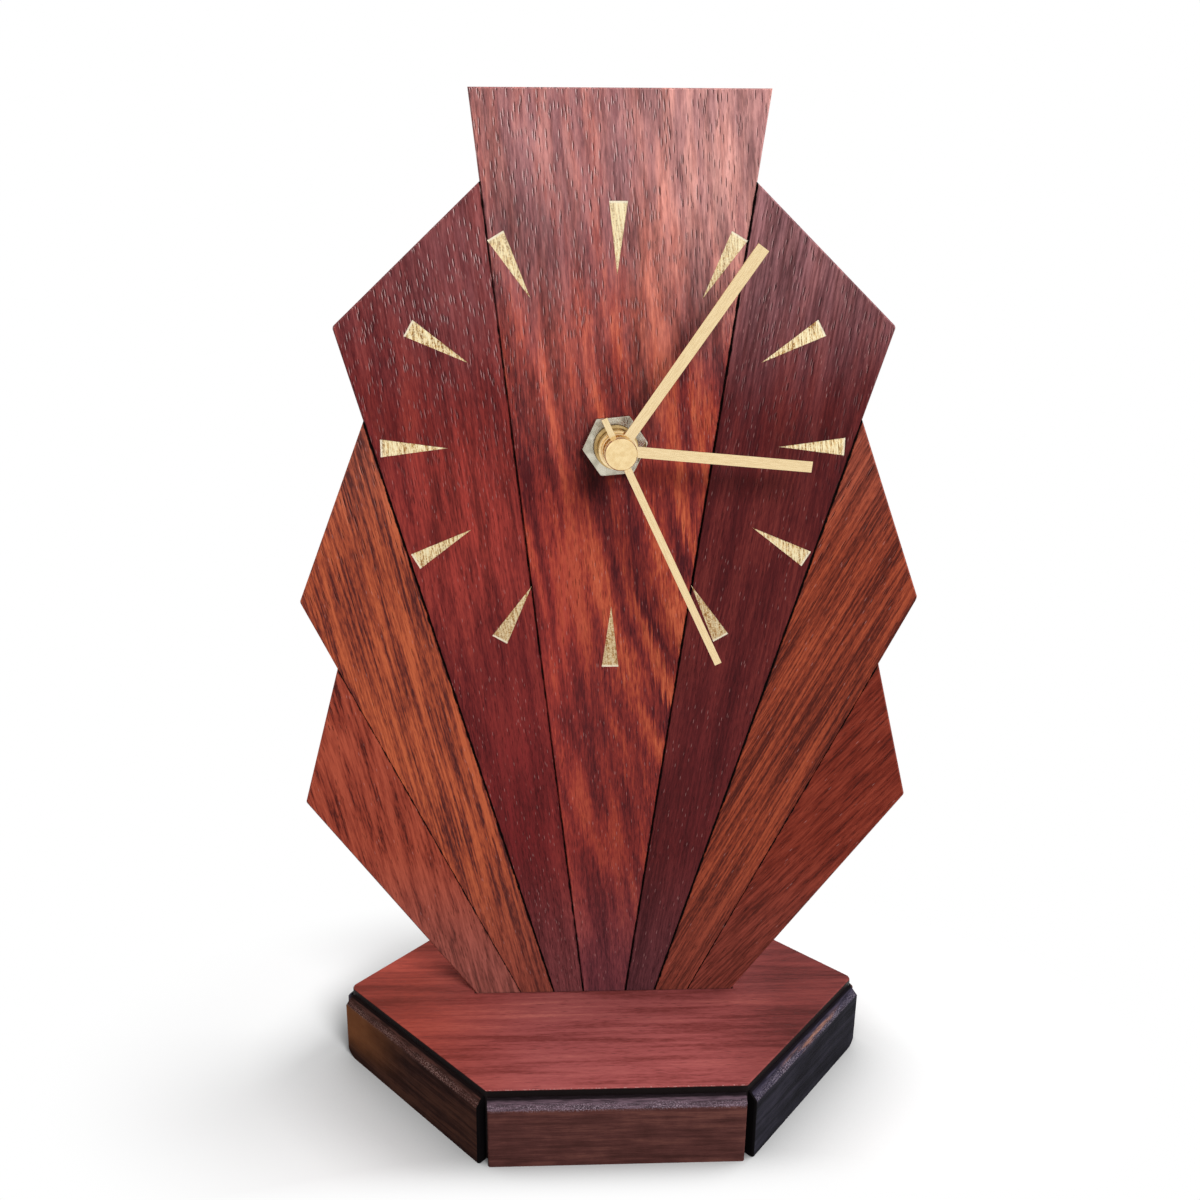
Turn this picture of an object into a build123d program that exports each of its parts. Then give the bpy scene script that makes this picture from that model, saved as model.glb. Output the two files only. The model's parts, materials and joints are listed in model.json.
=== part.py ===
from build123d import *
import math
import os

# Wooden desk clock: a fan of seven wedge staves standing on a hexagonal base, with twelve gilded
# hour marks, three baton hands and a battery quartz movement behind the dial.
# Millimetres. +Z is up, the dial faces -Y, and the origin is the middle of the base's underside.

# Base: a hexagonal plate with an edge strip on each of its six sides
BASE_THICKNESS = 19.0
BASE_HALF_WIDTH = 65.8
BASE_FRONT_HALF_WIDTH = 29.8
BASE_HALF_DEPTH = 36.7
STRIP_THICKNESS = 2.2
STRIP_REVEAL = 1.9
STRIP_BEVEL = 1.9
STRIP_END_GAP = 0.3
STRIP_END_ROUND = 0.6

# Fan panel: every stave edge points at one focus below the foot of the panel
PANEL_THICKNESS = 12.0
PANEL_SETBACK = 33.4
FAN_FOCUS_DEPTH = 45.5
CENTRE_EDGE_ANGLE = 6.87
INNER_EDGE_ANGLE = 16.1
MIDDLE_EDGE_ANGLE = 25.5
OUTER_EDGE_ANGLE = 36.3
PANEL_HEIGHT = 214.8
CENTRE_STEP = 18.1
INNER_TOP_FALL = 29.6
INNER_STEP = 20.2
MIDDLE_TOP_FALL = 41.5
MIDDLE_STEP = 16.4
OUTER_TOP_FALL = 34.4
CENTRE_GROOVE = 0.7
INNER_GROOVE = 0.6
MIDDLE_GROOVE = 0.24
EDGE_EASE = 0.4
CORNER_ROUND = 1.0
FOOT_DEPTH = 6.0

# Dial: twelve wedge pockets with a gilded floor
DIAL_DROP = 73.3
MARK_RING_DROP = 0.6
MARK_COUNT = 12
MARK_OUTER_RADIUS = 52.0
MARK_LENGTH = 15.0
MARK_WIDTH = 4.0
MARK_DEPTH = 0.4
GILDING_THICKNESS = 0.3

# Threaded bush, nut and rubber washer that clamp the movement to the panel
BUSH_DIAMETER = 9.5
BUSH_PROTRUSION = 5.4
BUSH_HOLE_CLEARANCE = 0.25
BUSH_FLANGE_WIDTH = 1.1
BUSH_FLANGE_THICKNESS = 1.2
NUT_ACROSS_FLATS = 12.7
NUT_THICKNESS = 2.4
NUT_CHAMFER = 0.25
NUT_TURN = 5.5
WASHER_WIDTH = 5.5
WASHER_THICKNESS = 1.0

# Shafts, one inside the other
SECOND_ARBOR_DIAMETER = 1.0
ARBOR_DIAMETER = 1.0
PIPE_WALL = 0.75
SHAFT_CLEARANCE = 0.2

# Hands, with the distance of each blade's back in front of the panel face
HAND_THICKNESS = 0.5
HAND_GAP = 0.5
HOUR_BLADE_STANDOFF = 8.6
HOUR_HAND_LENGTH = 42.3
HOUR_HAND_WIDTH = 2.4
HOUR_HAND_ANGLE = 95.1
HOUR_COLLAR_DIAMETER = 8.4
MINUTE_BLADE_STANDOFF = 10.2
MINUTE_HAND_LENGTH = 50.5
MINUTE_HAND_ROOT_WIDTH = 2.3
MINUTE_HAND_TIP_WIDTH = 2.8
MINUTE_HAND_ANGLE = 34.6
MINUTE_COLLAR_DIAMETER = 7.4
SECOND_BLADE_STANDOFF = 12.0
SECOND_HAND_LENGTH = 52.8
SECOND_HAND_TAIL = 7.9
SECOND_HAND_WIDTH = 1.6
SECOND_TAIL_WIDTH = 1.3
SECOND_HAND_ANGLE = 154.2
SECOND_COLLAR_DIAMETER = 2.6
CAP_DIAMETER = 6.9
CAP_HEIGHT = 2.9
CAP_BEVEL = 0.3

# Wheel train: tooth counts give exact ratios, and each pair shares one module
ROTOR_PINION_TEETH = 6
INTERMEDIATE_WHEEL_TEETH = 30
INTERMEDIATE_PINION_TEETH = 6
SECONDS_WHEEL_TEETH = 36
SECONDS_PINION_TEETH = 6
THIRD_WHEEL_TEETH = 45
THIRD_PINION_TEETH = 6
CENTRE_WHEEL_TEETH = 48
CANNON_PINION_TEETH = 10
MINUTE_WHEEL_TEETH = 30
MINUTE_PINION_TEETH = 8
HOUR_WHEEL_TEETH = 32
SECONDS_TRAIN_MODULE = 0.34
CENTRE_TRAIN_MODULE = 0.3
MOTION_WORK_MODULE = 0.43
ADDENDUM = 0.9
DEDENDUM = 1.2
WHEEL_TOOTH_SHARE = 0.85
PINION_TOOTH_SHARE = 0.7
WHEEL_THICKNESS = 0.8
PINION_LENGTH = 1.2
LEVEL_GAP = 0.4
ROTOR_DIRECTION = 30.0

# Movement housing, stepping motor and electronics
CASE_WALL = 1.2
CASE_CORNER_RADIUS = 3.0
COVER_THICKNESS = 1.4
TRAIN_ROOM_BELOW = 10.8
TRAIN_ROOM_ABOVE = 26.8
DIVIDER_THICKNESS = 1.0
TRAIN_PLATE_THICKNESS = 0.8
TRAIN_PLATE_CLEARANCE = 0.1
POST_WIDTH = 4.0
PIVOT_BLOCK_WALL = 0.8
PIVOT_BLOCK_DEPTH = 2.2
PIVOT_CLEARANCE = 0.15
MAGNET_DIAMETER = 5.6
MAGNET_LENGTH = 2.0
MAGNET_GAP = 0.5
STATOR_EYE_WALL = 1.3
STATOR_THICKNESS = 0.8
STATOR_ARM_WIDTH = 3.0
COIL_LENGTH = 14.0
COIL_DIAMETER = 5.4
COIL_HEIGHT = 20.0
COIL_CLEARANCE = 0.4
BOBBIN_FLANGE_THICKNESS = 0.7
BOBBIN_WALL = 0.5
CORE_WIDTH = 2.0
CORE_THICKNESS = 0.8
BOARD_LENGTH = 19.0
BOARD_HEIGHT = 15.0
BOARD_THICKNESS = 0.8
BOARD_MARGIN = 1.6
CRYSTAL_DIAMETER = 2.0
CRYSTAL_LENGTH = 6.0
KNOB_DIAMETER = 11.0
KNOB_HEIGHT = 3.2
KNOB_RIBS = 24
KNOB_RIB_HEIGHT = 0.5
KNOB_RIB_SHARE = 0.7
KNOB_STEM_DIAMETER = 3.0
KNOB_GAP = 0.4

# One AA cell and its two contacts
CELL_DIAMETER = 14.2
CELL_LENGTH = 50.5
CELL_NUB_DIAMETER = 5.5
CELL_NUB_LENGTH = 1.0
CELL_EDGE_BEVEL = 0.5
CELL_CLEARANCE = 0.3
CONTACT_THICKNESS = 0.4
CONTACT_WIDTH = 8.0
CONTACT_HEIGHT = 9.0
CONTACT_CLEARANCE = 0.15
LEAF_DEPTH = 2.2

# Places worked out from the sizes above
PANEL_FACE_Y = PANEL_SETBACK - BASE_HALF_DEPTH
PANEL_BACK_Y = PANEL_FACE_Y + PANEL_THICKNESS
DIAL_HEIGHT = PANEL_HEIGHT - DIAL_DROP
DIAL_Z = BASE_THICKNESS + DIAL_HEIGHT
CASE_FRONT_Y = PANEL_BACK_Y + WASHER_THICKNESS
CASE_FLOOR_Y = CASE_FRONT_Y + CASE_WALL
BUSH_FLANGE_Y = CASE_FLOOR_Y + BUSH_FLANGE_THICKNESS

MINUTE_PIPE_BORE = SECOND_ARBOR_DIAMETER + 2 * SHAFT_CLEARANCE
MINUTE_PIPE_DIAMETER = MINUTE_PIPE_BORE + 2 * PIPE_WALL
HOUR_PIPE_BORE = MINUTE_PIPE_DIAMETER + 2 * SHAFT_CLEARANCE
HOUR_PIPE_DIAMETER = HOUR_PIPE_BORE + 2 * PIPE_WALL
BUSH_BORE = HOUR_PIPE_DIAMETER + 2 * SHAFT_CLEARANCE

# Levels of the train, from the dial towards the back, as the front of each wheel or pinion
PINION_OVERHANG = (PINION_LENGTH - WHEEL_THICKNESS) / 2
HOUR_WHEEL_Y = BUSH_FLANGE_Y + LEVEL_GAP
CANNON_PINION_Y = HOUR_WHEEL_Y + WHEEL_THICKNESS + LEVEL_GAP
MINUTE_WHEEL_Y = CANNON_PINION_Y + PINION_OVERHANG
MINUTE_PINION_Y = HOUR_WHEEL_Y - PINION_OVERHANG
CENTRE_WHEEL_Y = CANNON_PINION_Y + PINION_LENGTH + LEVEL_GAP
THIRD_PINION_Y = CENTRE_WHEEL_Y - PINION_OVERHANG
TRAIN_PLATE_Y = CENTRE_WHEEL_Y + WHEEL_THICKNESS + PINION_OVERHANG + LEVEL_GAP / 2
TRAIN_PLATE_BACK_Y = TRAIN_PLATE_Y + TRAIN_PLATE_THICKNESS
SECONDS_PINION_Y = TRAIN_PLATE_BACK_Y + LEVEL_GAP
THIRD_WHEEL_Y = SECONDS_PINION_Y + PINION_OVERHANG
SECONDS_WHEEL_Y = SECONDS_PINION_Y + PINION_LENGTH + LEVEL_GAP
INTERMEDIATE_PINION_Y = SECONDS_WHEEL_Y - PINION_OVERHANG
INTERMEDIATE_WHEEL_Y = INTERMEDIATE_PINION_Y + PINION_LENGTH + LEVEL_GAP
ROTOR_PINION_Y = INTERMEDIATE_WHEEL_Y - PINION_OVERHANG
PIVOT_BLOCK_Y = ROTOR_PINION_Y + PINION_LENGTH + LEVEL_GAP
COVER_Y = PIVOT_BLOCK_Y + PIVOT_BLOCK_DEPTH
COVER_BACK_Y = COVER_Y + COVER_THICKNESS
STATOR_BACK_Y = TRAIN_PLATE_BACK_Y + STATOR_THICKNESS
CORE_BACK_Y = STATOR_BACK_Y + CORE_THICKNESS
COIL_Y = STATOR_BACK_Y + CORE_THICKNESS / 2
BOARD_BACK_Y = TRAIN_PLATE_BACK_Y + BOARD_THICKNESS

# Arbor places in the plane of the dial, as (x, z) from its centre
CENTRE_TRAIN_REACH = CENTRE_TRAIN_MODULE * (THIRD_PINION_TEETH + CENTRE_WHEEL_TEETH) / 2
THIRD_TRAIN_MODULE = 2 * CENTRE_TRAIN_REACH / (SECONDS_PINION_TEETH + THIRD_WHEEL_TEETH)
SECONDS_TRAIN_REACH = SECONDS_TRAIN_MODULE * (INTERMEDIATE_PINION_TEETH + SECONDS_WHEEL_TEETH) / 2
ROTOR_REACH = SECONDS_TRAIN_MODULE * (ROTOR_PINION_TEETH + INTERMEDIATE_WHEEL_TEETH) / 2
MOTION_WORK_REACH = MOTION_WORK_MODULE * (CANNON_PINION_TEETH + MINUTE_WHEEL_TEETH) / 2
THIRD_ARBOR = (-CENTRE_TRAIN_REACH, 0.0)
INTERMEDIATE_ARBOR = (SECONDS_TRAIN_REACH, 0.0)
ROTOR_ARBOR = (
    SECONDS_TRAIN_REACH + ROTOR_REACH * math.cos(math.radians(ROTOR_DIRECTION)),
    ROTOR_REACH * math.sin(math.radians(ROTOR_DIRECTION)),
)
MINUTE_ARBOR = (0.0, MOTION_WORK_REACH)

# Housing sizes that follow the cell and the train
BAY_HALF_WIDTH = (CELL_LENGTH + LEAF_DEPTH + CONTACT_THICKNESS + 2 * CONTACT_CLEARANCE) / 2
BAY_TOP_Z = -TRAIN_ROOM_BELOW - DIVIDER_THICKNESS
BAY_FLOOR_Z = BAY_TOP_Z - CELL_DIAMETER - 2 * CELL_CLEARANCE
CELL_Z = (BAY_TOP_Z + BAY_FLOOR_Z) / 2
CELL_Y = CASE_FLOOR_Y + CELL_CLEARANCE + CELL_DIAMETER / 2
CASE_HALF_WIDTH = BAY_HALF_WIDTH + CASE_WALL
CASE_TOP_Z = TRAIN_ROOM_ABOVE + CASE_WALL
CASE_FOOT_Z = BAY_FLOOR_Z - CASE_WALL

PARTS_FOLDER = "parts"


def slab(sketch, front_y, back_y, level=0.0):
    """Extrude a sketch drawn in (x, z), with z counted from a level, between two depths."""
    plane = Plane(origin=(0, back_y, level), x_dir=(1, 0, 0), z_dir=(0, -1, 0))
    return extrude(plane * sketch, amount=back_y - front_y)


def dial_slab(sketch, front_y, back_y):
    """Extrude a sketch drawn in (x, z) about the centre of the dial."""
    return slab(sketch, front_y, back_y, DIAL_Z)


def disc(diameter, centre=(0.0, 0.0)):
    return Pos(*centre) * Circle(diameter / 2)


def box_sketch(left, right, bottom, top):
    return Polygon((left, bottom), (right, bottom), (right, top), (left, top), align=None)


def polar(radius, degrees):
    """Point at an angle counted anticlockwise from +X."""
    return (radius * math.cos(math.radians(degrees)), radius * math.sin(math.radians(degrees)))


def direction(start, end):
    return math.degrees(math.atan2(end[1] - start[1], end[0] - start[0]))


def toothed(teeth, root_radius, tip_radius, tooth_share, first=0.0):
    """Outline with pointed teeth that take up a share of the pitch at their roots."""
    pitch = 360 / teeth
    half_root = pitch * tooth_share / 2
    points = []
    for tooth in range(teeth):
        middle = first + tooth * pitch
        points.append(polar(root_radius, middle - half_root))
        points.append(polar(tip_radius, middle))
        points.append(polar(root_radius, middle + half_root))
    return Polygon(*points, align=None)


def gear(teeth, module, tooth_share, centre, tooth_at=None, gap_at=None):
    """Wheel outline of a module, turned to put a tooth or a gap at an angle."""
    first = tooth_at if tooth_at is not None else gap_at + 180 / teeth
    pitch_radius = teeth * module / 2
    root_radius = pitch_radius - DEDENDUM * module
    tip_radius = pitch_radius + ADDENDUM * module
    return Pos(*centre) * toothed(teeth, root_radius, tip_radius, tooth_share, first)


def edge_x(angle, height):
    """Half-width of the fan at a height above the base, along the stave edge at an angle."""
    return (FAN_FOCUS_DEPTH + height) * math.tan(math.radians(angle))


def base_corners():
    return [
        (-BASE_HALF_WIDTH, 0.0),
        (-BASE_FRONT_HALF_WIDTH, -BASE_HALF_DEPTH),
        (BASE_FRONT_HALF_WIDTH, -BASE_HALF_DEPTH),
        (BASE_HALF_WIDTH, 0.0),
        (BASE_FRONT_HALF_WIDTH, BASE_HALF_DEPTH),
        (-BASE_FRONT_HALF_WIDTH, BASE_HALF_DEPTH),
    ]


def make_base_plate():
    """Hexagonal plate with a groove across its top that houses the foot of the panel."""
    plate = extrude(Polygon(*base_corners(), align=None), amount=BASE_THICKNESS)
    top = edge_x(OUTER_EDGE_ANGLE, 0)
    floor = edge_x(OUTER_EDGE_ANGLE, -FOOT_DEPTH)
    groove = Polygon((-floor, -FOOT_DEPTH), (floor, -FOOT_DEPTH), (top, 0), (-top, 0), align=None)
    return plate - slab(groove, PANEL_FACE_Y, PANEL_BACK_Y, BASE_THICKNESS)


def make_strip(start, end):
    """Edge strip with a bevelled top and rounded ends, along one side of the base plate."""
    length = math.dist(start, end) - 2 * STRIP_END_GAP
    inner_height = BASE_THICKNESS - STRIP_REVEAL
    section = Polygon(
        (0, 0),
        (STRIP_THICKNESS, 0),
        (STRIP_THICKNESS, inner_height - STRIP_BEVEL),
        (STRIP_THICKNESS - STRIP_BEVEL, inner_height),
        (0, inner_height),
        align=None,
    )
    turn = math.degrees(math.atan2(end[1] - start[1], end[0] - start[0]))
    across = Plane(origin=(0, 0, 0), x_dir=(0, -1, 0), z_dir=(-1, 0, 0))
    bar = extrude(across * section, amount=length / 2, both=True)
    end_edges = bar.edges().filter_by(Axis.Z).group_by(Axis.Y)[0]
    bar = fillet(end_edges, STRIP_END_ROUND)
    middle = ((start[0] + end[0]) / 2, (start[1] + end[1]) / 2)
    return Pos(middle[0], middle[1], 0) * Rot(0, 0, turn) * bar


def make_strips():
    names = ["front_left", "front", "front_right", "back_right", "back", "back_left"]
    corners = base_corners()
    strips = {}
    for index, name in enumerate(names):
        start = corners[index]
        end = corners[(index + 1) % len(corners)]
        strips["base_strip_" + name] = make_strip(start, end)
    return strips


def inset(points, margins):
    """Corners of an outline moved inwards by a margin on each side; side i runs from corner i on."""
    sides = []
    for index, corner in enumerate(points):
        after = points[(index + 1) % len(points)]
        length = math.dist(corner, after)
        normal = ((corner[1] - after[1]) / length, (after[0] - corner[0]) / length)
        reach = normal[0] * corner[0] + normal[1] * corner[1] + margins[index]
        sides.append((normal, reach))
    corners = []
    for index, (normal, reach) in enumerate(sides):
        other, other_reach = sides[index - 1]
        cross = other[0] * normal[1] - other[1] * normal[0]
        corners.append((
            (other_reach * normal[1] - reach * other[1]) / cross,
            (other[0] * reach - normal[0] * other_reach) / cross,
        ))
    return corners


def rounded(points, corner):
    """Outline with one of its corners rounded, or none."""
    outline = Polygon(*points, align=None)
    if corner is None:
        return outline
    vertex = outline.vertices().sort_by_distance(Vector(*points[corner]))[0]
    return fillet(vertex, CORNER_ROUND)


def make_stave(points, margins, corner=None):
    """Board of the panel's thickness whose front edges are eased by a margin on each side."""
    shoulder_y = PANEL_FACE_Y + EDGE_EASE
    outline = rounded(points, corner)
    board = slab(outline, shoulder_y, PANEL_BACK_Y, BASE_THICKNESS)
    shoulder = Plane(origin=(0, shoulder_y, BASE_THICKNESS), x_dir=(1, 0, 0), z_dir=(0, -1, 0))
    face = shoulder.offset(EDGE_EASE)
    eased = rounded(inset(points, margins), corner)
    return board + loft([(shoulder * outline).face(), (face * eased).face()], ruled=True)


def make_side_stave(inner_angle, outer_angle, near_top, far_top, inner_groove, outer_groove):
    """Wedge stave of the right half of the fan, between two edge angles."""
    points = [
        (edge_x(inner_angle, -FOOT_DEPTH), -FOOT_DEPTH),
        (edge_x(outer_angle, -FOOT_DEPTH), -FOOT_DEPTH),
        (edge_x(outer_angle, far_top), far_top),
        (edge_x(inner_angle, near_top), near_top),
    ]
    return make_stave(points, [0, outer_groove / 2, EDGE_EASE, inner_groove / 2], corner=2)


def make_centre_stave():
    foot = edge_x(CENTRE_EDGE_ANGLE, -FOOT_DEPTH)
    head = edge_x(CENTRE_EDGE_ANGLE, PANEL_HEIGHT)
    points = [(-foot, -FOOT_DEPTH), (foot, -FOOT_DEPTH), (head, PANEL_HEIGHT), (-head, PANEL_HEIGHT)]
    return make_stave(points, [0, CENTRE_GROOVE / 2, EDGE_EASE, CENTRE_GROOVE / 2])


def mark_places():
    ring = Pos(0, -MARK_RING_DROP)
    return [ring * Rot(0, 0, -index * 360 / MARK_COUNT) for index in range(MARK_COUNT)]


def mark_sketch():
    half = MARK_WIDTH / 2
    tip = MARK_OUTER_RADIUS - MARK_LENGTH
    return Polygon((0, tip), (half, MARK_OUTER_RADIUS), (-half, MARK_OUTER_RADIUS), align=None)


def make_panel():
    inner_near = PANEL_HEIGHT - CENTRE_STEP
    inner_far = inner_near - INNER_TOP_FALL
    middle_near = inner_far - INNER_STEP
    middle_far = middle_near - MIDDLE_TOP_FALL
    outer_near = middle_far - MIDDLE_STEP
    outer_far = outer_near - OUTER_TOP_FALL
    right = {
        "stave_inner": make_side_stave(
            CENTRE_EDGE_ANGLE, INNER_EDGE_ANGLE, inner_near, inner_far, CENTRE_GROOVE, INNER_GROOVE),
        "stave_middle": make_side_stave(
            INNER_EDGE_ANGLE, MIDDLE_EDGE_ANGLE, middle_near, middle_far, INNER_GROOVE, MIDDLE_GROOVE),
        "stave_outer": make_side_stave(
            MIDDLE_EDGE_ANGLE, OUTER_EDGE_ANGLE, outer_near, outer_far, MIDDLE_GROOVE, 2 * EDGE_EASE),
    }
    staves = {"stave_centre": make_centre_stave()}
    for name, stave in right.items():
        staves[name + "_right"] = stave
        staves[name + "_left"] = mirror(stave, about=Plane.YZ)

    pocket = Sketch() + [place * mark_sketch() for place in mark_places()]
    cuts = dial_slab(pocket, PANEL_FACE_Y, PANEL_FACE_Y + MARK_DEPTH)
    cuts += dial_slab(disc(BUSH_DIAMETER + 2 * BUSH_HOLE_CLEARANCE), PANEL_FACE_Y, PANEL_BACK_Y)
    return {name: stave - cuts for name, stave in staves.items()}


def make_hour_marks():
    gilding = [place * mark_sketch() for place in mark_places()]
    floor_y = PANEL_FACE_Y + MARK_DEPTH
    return [dial_slab(mark, floor_y - GILDING_THICKNESS, floor_y) for mark in gilding]


def make_bush():
    bore = disc(BUSH_BORE)
    tube = dial_slab(disc(BUSH_DIAMETER) - bore, PANEL_FACE_Y - BUSH_PROTRUSION, CASE_FLOOR_Y)
    flange = dial_slab(disc(BUSH_DIAMETER + 2 * BUSH_FLANGE_WIDTH) - bore, CASE_FLOOR_Y, BUSH_FLANGE_Y)
    return tube + flange


def make_nut():
    across_corners = NUT_ACROSS_FLATS / math.cos(math.radians(30))
    hexagon = Rot(0, 0, NUT_TURN) * RegularPolygon(across_corners / 2, 6)
    front_y = PANEL_FACE_Y - NUT_THICKNESS
    nut = dial_slab(hexagon, front_y, PANEL_FACE_Y)
    rounding = dial_slab(disc(across_corners), front_y, PANEL_FACE_Y)
    front_edge = rounding.edges().sort_by(Axis.Y)[0]
    rounding = chamfer(front_edge, NUT_CHAMFER, 2 * NUT_CHAMFER)
    return (nut & rounding) - dial_slab(disc(BUSH_DIAMETER), front_y, PANEL_FACE_Y)


def make_rubber_washer():
    hole = BUSH_DIAMETER + 2 * BUSH_HOLE_CLEARANCE
    ring = disc(hole + 2 * WASHER_WIDTH) - disc(hole)
    return dial_slab(ring, PANEL_BACK_Y, CASE_FRONT_Y)


def hand_blade(root_width, tip_width, start, length, angle):
    """Flat tapered bar from a distance along the hand to its square tip, turned clockwise from 12."""
    root = root_width / 2
    tip = tip_width / 2
    bar = Polygon((-root, start), (root, start), (tip, length), (-tip, length), align=None)
    return Rot(0, 0, -angle) * bar


def make_hour_hand():
    back_y = PANEL_FACE_Y - HOUR_BLADE_STANDOFF
    collar_back = PANEL_FACE_Y - BUSH_PROTRUSION - HAND_GAP
    collar = disc(HOUR_COLLAR_DIAMETER)
    bore = disc(HOUR_PIPE_DIAMETER)
    blade = hand_blade(HOUR_HAND_WIDTH, HOUR_HAND_WIDTH, 0, HOUR_HAND_LENGTH, HOUR_HAND_ANGLE)
    hand = dial_slab((blade + collar) - bore, back_y - HAND_THICKNESS, back_y)
    return hand + dial_slab(collar - bore, back_y, collar_back)


def make_minute_hand():
    back_y = PANEL_FACE_Y - MINUTE_BLADE_STANDOFF
    collar_back = PANEL_FACE_Y - HOUR_BLADE_STANDOFF - HAND_THICKNESS - HAND_GAP
    collar = disc(MINUTE_COLLAR_DIAMETER)
    bore = disc(MINUTE_PIPE_DIAMETER)
    blade = hand_blade(
        MINUTE_HAND_ROOT_WIDTH, MINUTE_HAND_TIP_WIDTH, 0, MINUTE_HAND_LENGTH, MINUTE_HAND_ANGLE)
    hand = dial_slab((blade + collar) - bore, back_y - HAND_THICKNESS, back_y)
    return hand + dial_slab(collar - bore, back_y, collar_back)


def make_second_hand():
    back_y = PANEL_FACE_Y - SECOND_BLADE_STANDOFF
    collar_back = PANEL_FACE_Y - MINUTE_BLADE_STANDOFF - HAND_THICKNESS - HAND_GAP
    blade = hand_blade(SECOND_HAND_WIDTH, SECOND_HAND_WIDTH, 0, SECOND_HAND_LENGTH, SECOND_HAND_ANGLE)
    tail = hand_blade(SECOND_TAIL_WIDTH, SECOND_TAIL_WIDTH, 0, SECOND_HAND_TAIL, SECOND_HAND_ANGLE + 180)
    collar = disc(SECOND_COLLAR_DIAMETER)
    bore = disc(SECOND_ARBOR_DIAMETER)
    hand = dial_slab((blade + tail + collar) - bore, back_y - HAND_THICKNESS, back_y)
    return hand + dial_slab(collar - bore, back_y, collar_back)


def make_cap():
    back_y = PANEL_FACE_Y - SECOND_BLADE_STANDOFF - HAND_THICKNESS
    cap = dial_slab(disc(CAP_DIAMETER), back_y - CAP_HEIGHT, back_y)
    return chamfer(cap.edges().sort_by(Axis.Y)[0], CAP_BEVEL)


def arbor(centre, front_y, back_y):
    return dial_slab(disc(ARBOR_DIAMETER, centre), front_y, back_y)


def pivot_end_y():
    """Depth where an arbor ends inside its bore in the rear cover's pivot block."""
    return COVER_Y - PIVOT_CLEARANCE


def make_seconds_wheel():
    origin = (0.0, 0.0)
    tip_y = PANEL_FACE_Y - SECOND_BLADE_STANDOFF - HAND_THICKNESS
    shaft = dial_slab(disc(SECOND_ARBOR_DIAMETER), tip_y, pivot_end_y())
    pinion = gear(
        SECONDS_PINION_TEETH, THIRD_TRAIN_MODULE, PINION_TOOTH_SHARE, origin,
        gap_at=direction(origin, THIRD_ARBOR))
    wheel = gear(
        SECONDS_WHEEL_TEETH, SECONDS_TRAIN_MODULE, WHEEL_TOOTH_SHARE, origin,
        tooth_at=direction(origin, INTERMEDIATE_ARBOR))
    shaft += dial_slab(pinion, SECONDS_PINION_Y, SECONDS_WHEEL_Y)
    return shaft + dial_slab(wheel, SECONDS_WHEEL_Y, SECONDS_WHEEL_Y + WHEEL_THICKNESS)


def make_third_wheel():
    facing = direction(THIRD_ARBOR, (0.0, 0.0))
    pinion = gear(
        THIRD_PINION_TEETH, CENTRE_TRAIN_MODULE, PINION_TOOTH_SHARE, THIRD_ARBOR, gap_at=facing)
    wheel = gear(
        THIRD_WHEEL_TEETH, THIRD_TRAIN_MODULE, WHEEL_TOOTH_SHARE, THIRD_ARBOR, tooth_at=facing)
    shaft = arbor(THIRD_ARBOR, THIRD_PINION_Y, pivot_end_y())
    shaft += dial_slab(pinion, THIRD_PINION_Y, THIRD_PINION_Y + PINION_LENGTH)
    return shaft + dial_slab(wheel, THIRD_WHEEL_Y, THIRD_WHEEL_Y + WHEEL_THICKNESS)


def make_centre_wheel():
    wheel = gear(
        CENTRE_WHEEL_TEETH, CENTRE_TRAIN_MODULE, WHEEL_TOOTH_SHARE, (0.0, 0.0),
        tooth_at=direction((0.0, 0.0), THIRD_ARBOR))
    hole = disc(MINUTE_PIPE_DIAMETER + 2 * PIVOT_CLEARANCE)
    return dial_slab(wheel - hole, CENTRE_WHEEL_Y, CENTRE_WHEEL_Y + WHEEL_THICKNESS)


def make_intermediate_wheel():
    pinion = gear(
        INTERMEDIATE_PINION_TEETH, SECONDS_TRAIN_MODULE, PINION_TOOTH_SHARE, INTERMEDIATE_ARBOR,
        gap_at=direction(INTERMEDIATE_ARBOR, (0.0, 0.0)))
    wheel = gear(
        INTERMEDIATE_WHEEL_TEETH, SECONDS_TRAIN_MODULE, WHEEL_TOOTH_SHARE, INTERMEDIATE_ARBOR,
        tooth_at=direction(INTERMEDIATE_ARBOR, ROTOR_ARBOR))
    shaft = arbor(INTERMEDIATE_ARBOR, TRAIN_PLATE_Y, pivot_end_y())
    shaft += dial_slab(pinion, INTERMEDIATE_PINION_Y, INTERMEDIATE_WHEEL_Y)
    return shaft + dial_slab(wheel, INTERMEDIATE_WHEEL_Y, INTERMEDIATE_WHEEL_Y + WHEEL_THICKNESS)


def make_rotor():
    pinion = gear(
        ROTOR_PINION_TEETH, SECONDS_TRAIN_MODULE, PINION_TOOTH_SHARE, ROTOR_ARBOR,
        gap_at=direction(ROTOR_ARBOR, INTERMEDIATE_ARBOR))
    magnet_y = TRAIN_PLATE_BACK_Y + LEVEL_GAP
    magnet_back_y = magnet_y + MAGNET_LENGTH
    shaft = arbor(ROTOR_ARBOR, TRAIN_PLATE_Y, pivot_end_y())
    shaft += dial_slab(disc(MAGNET_DIAMETER, ROTOR_ARBOR), magnet_y, magnet_back_y)
    return shaft + dial_slab(pinion, magnet_back_y, ROTOR_PINION_Y + PINION_LENGTH)


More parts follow.
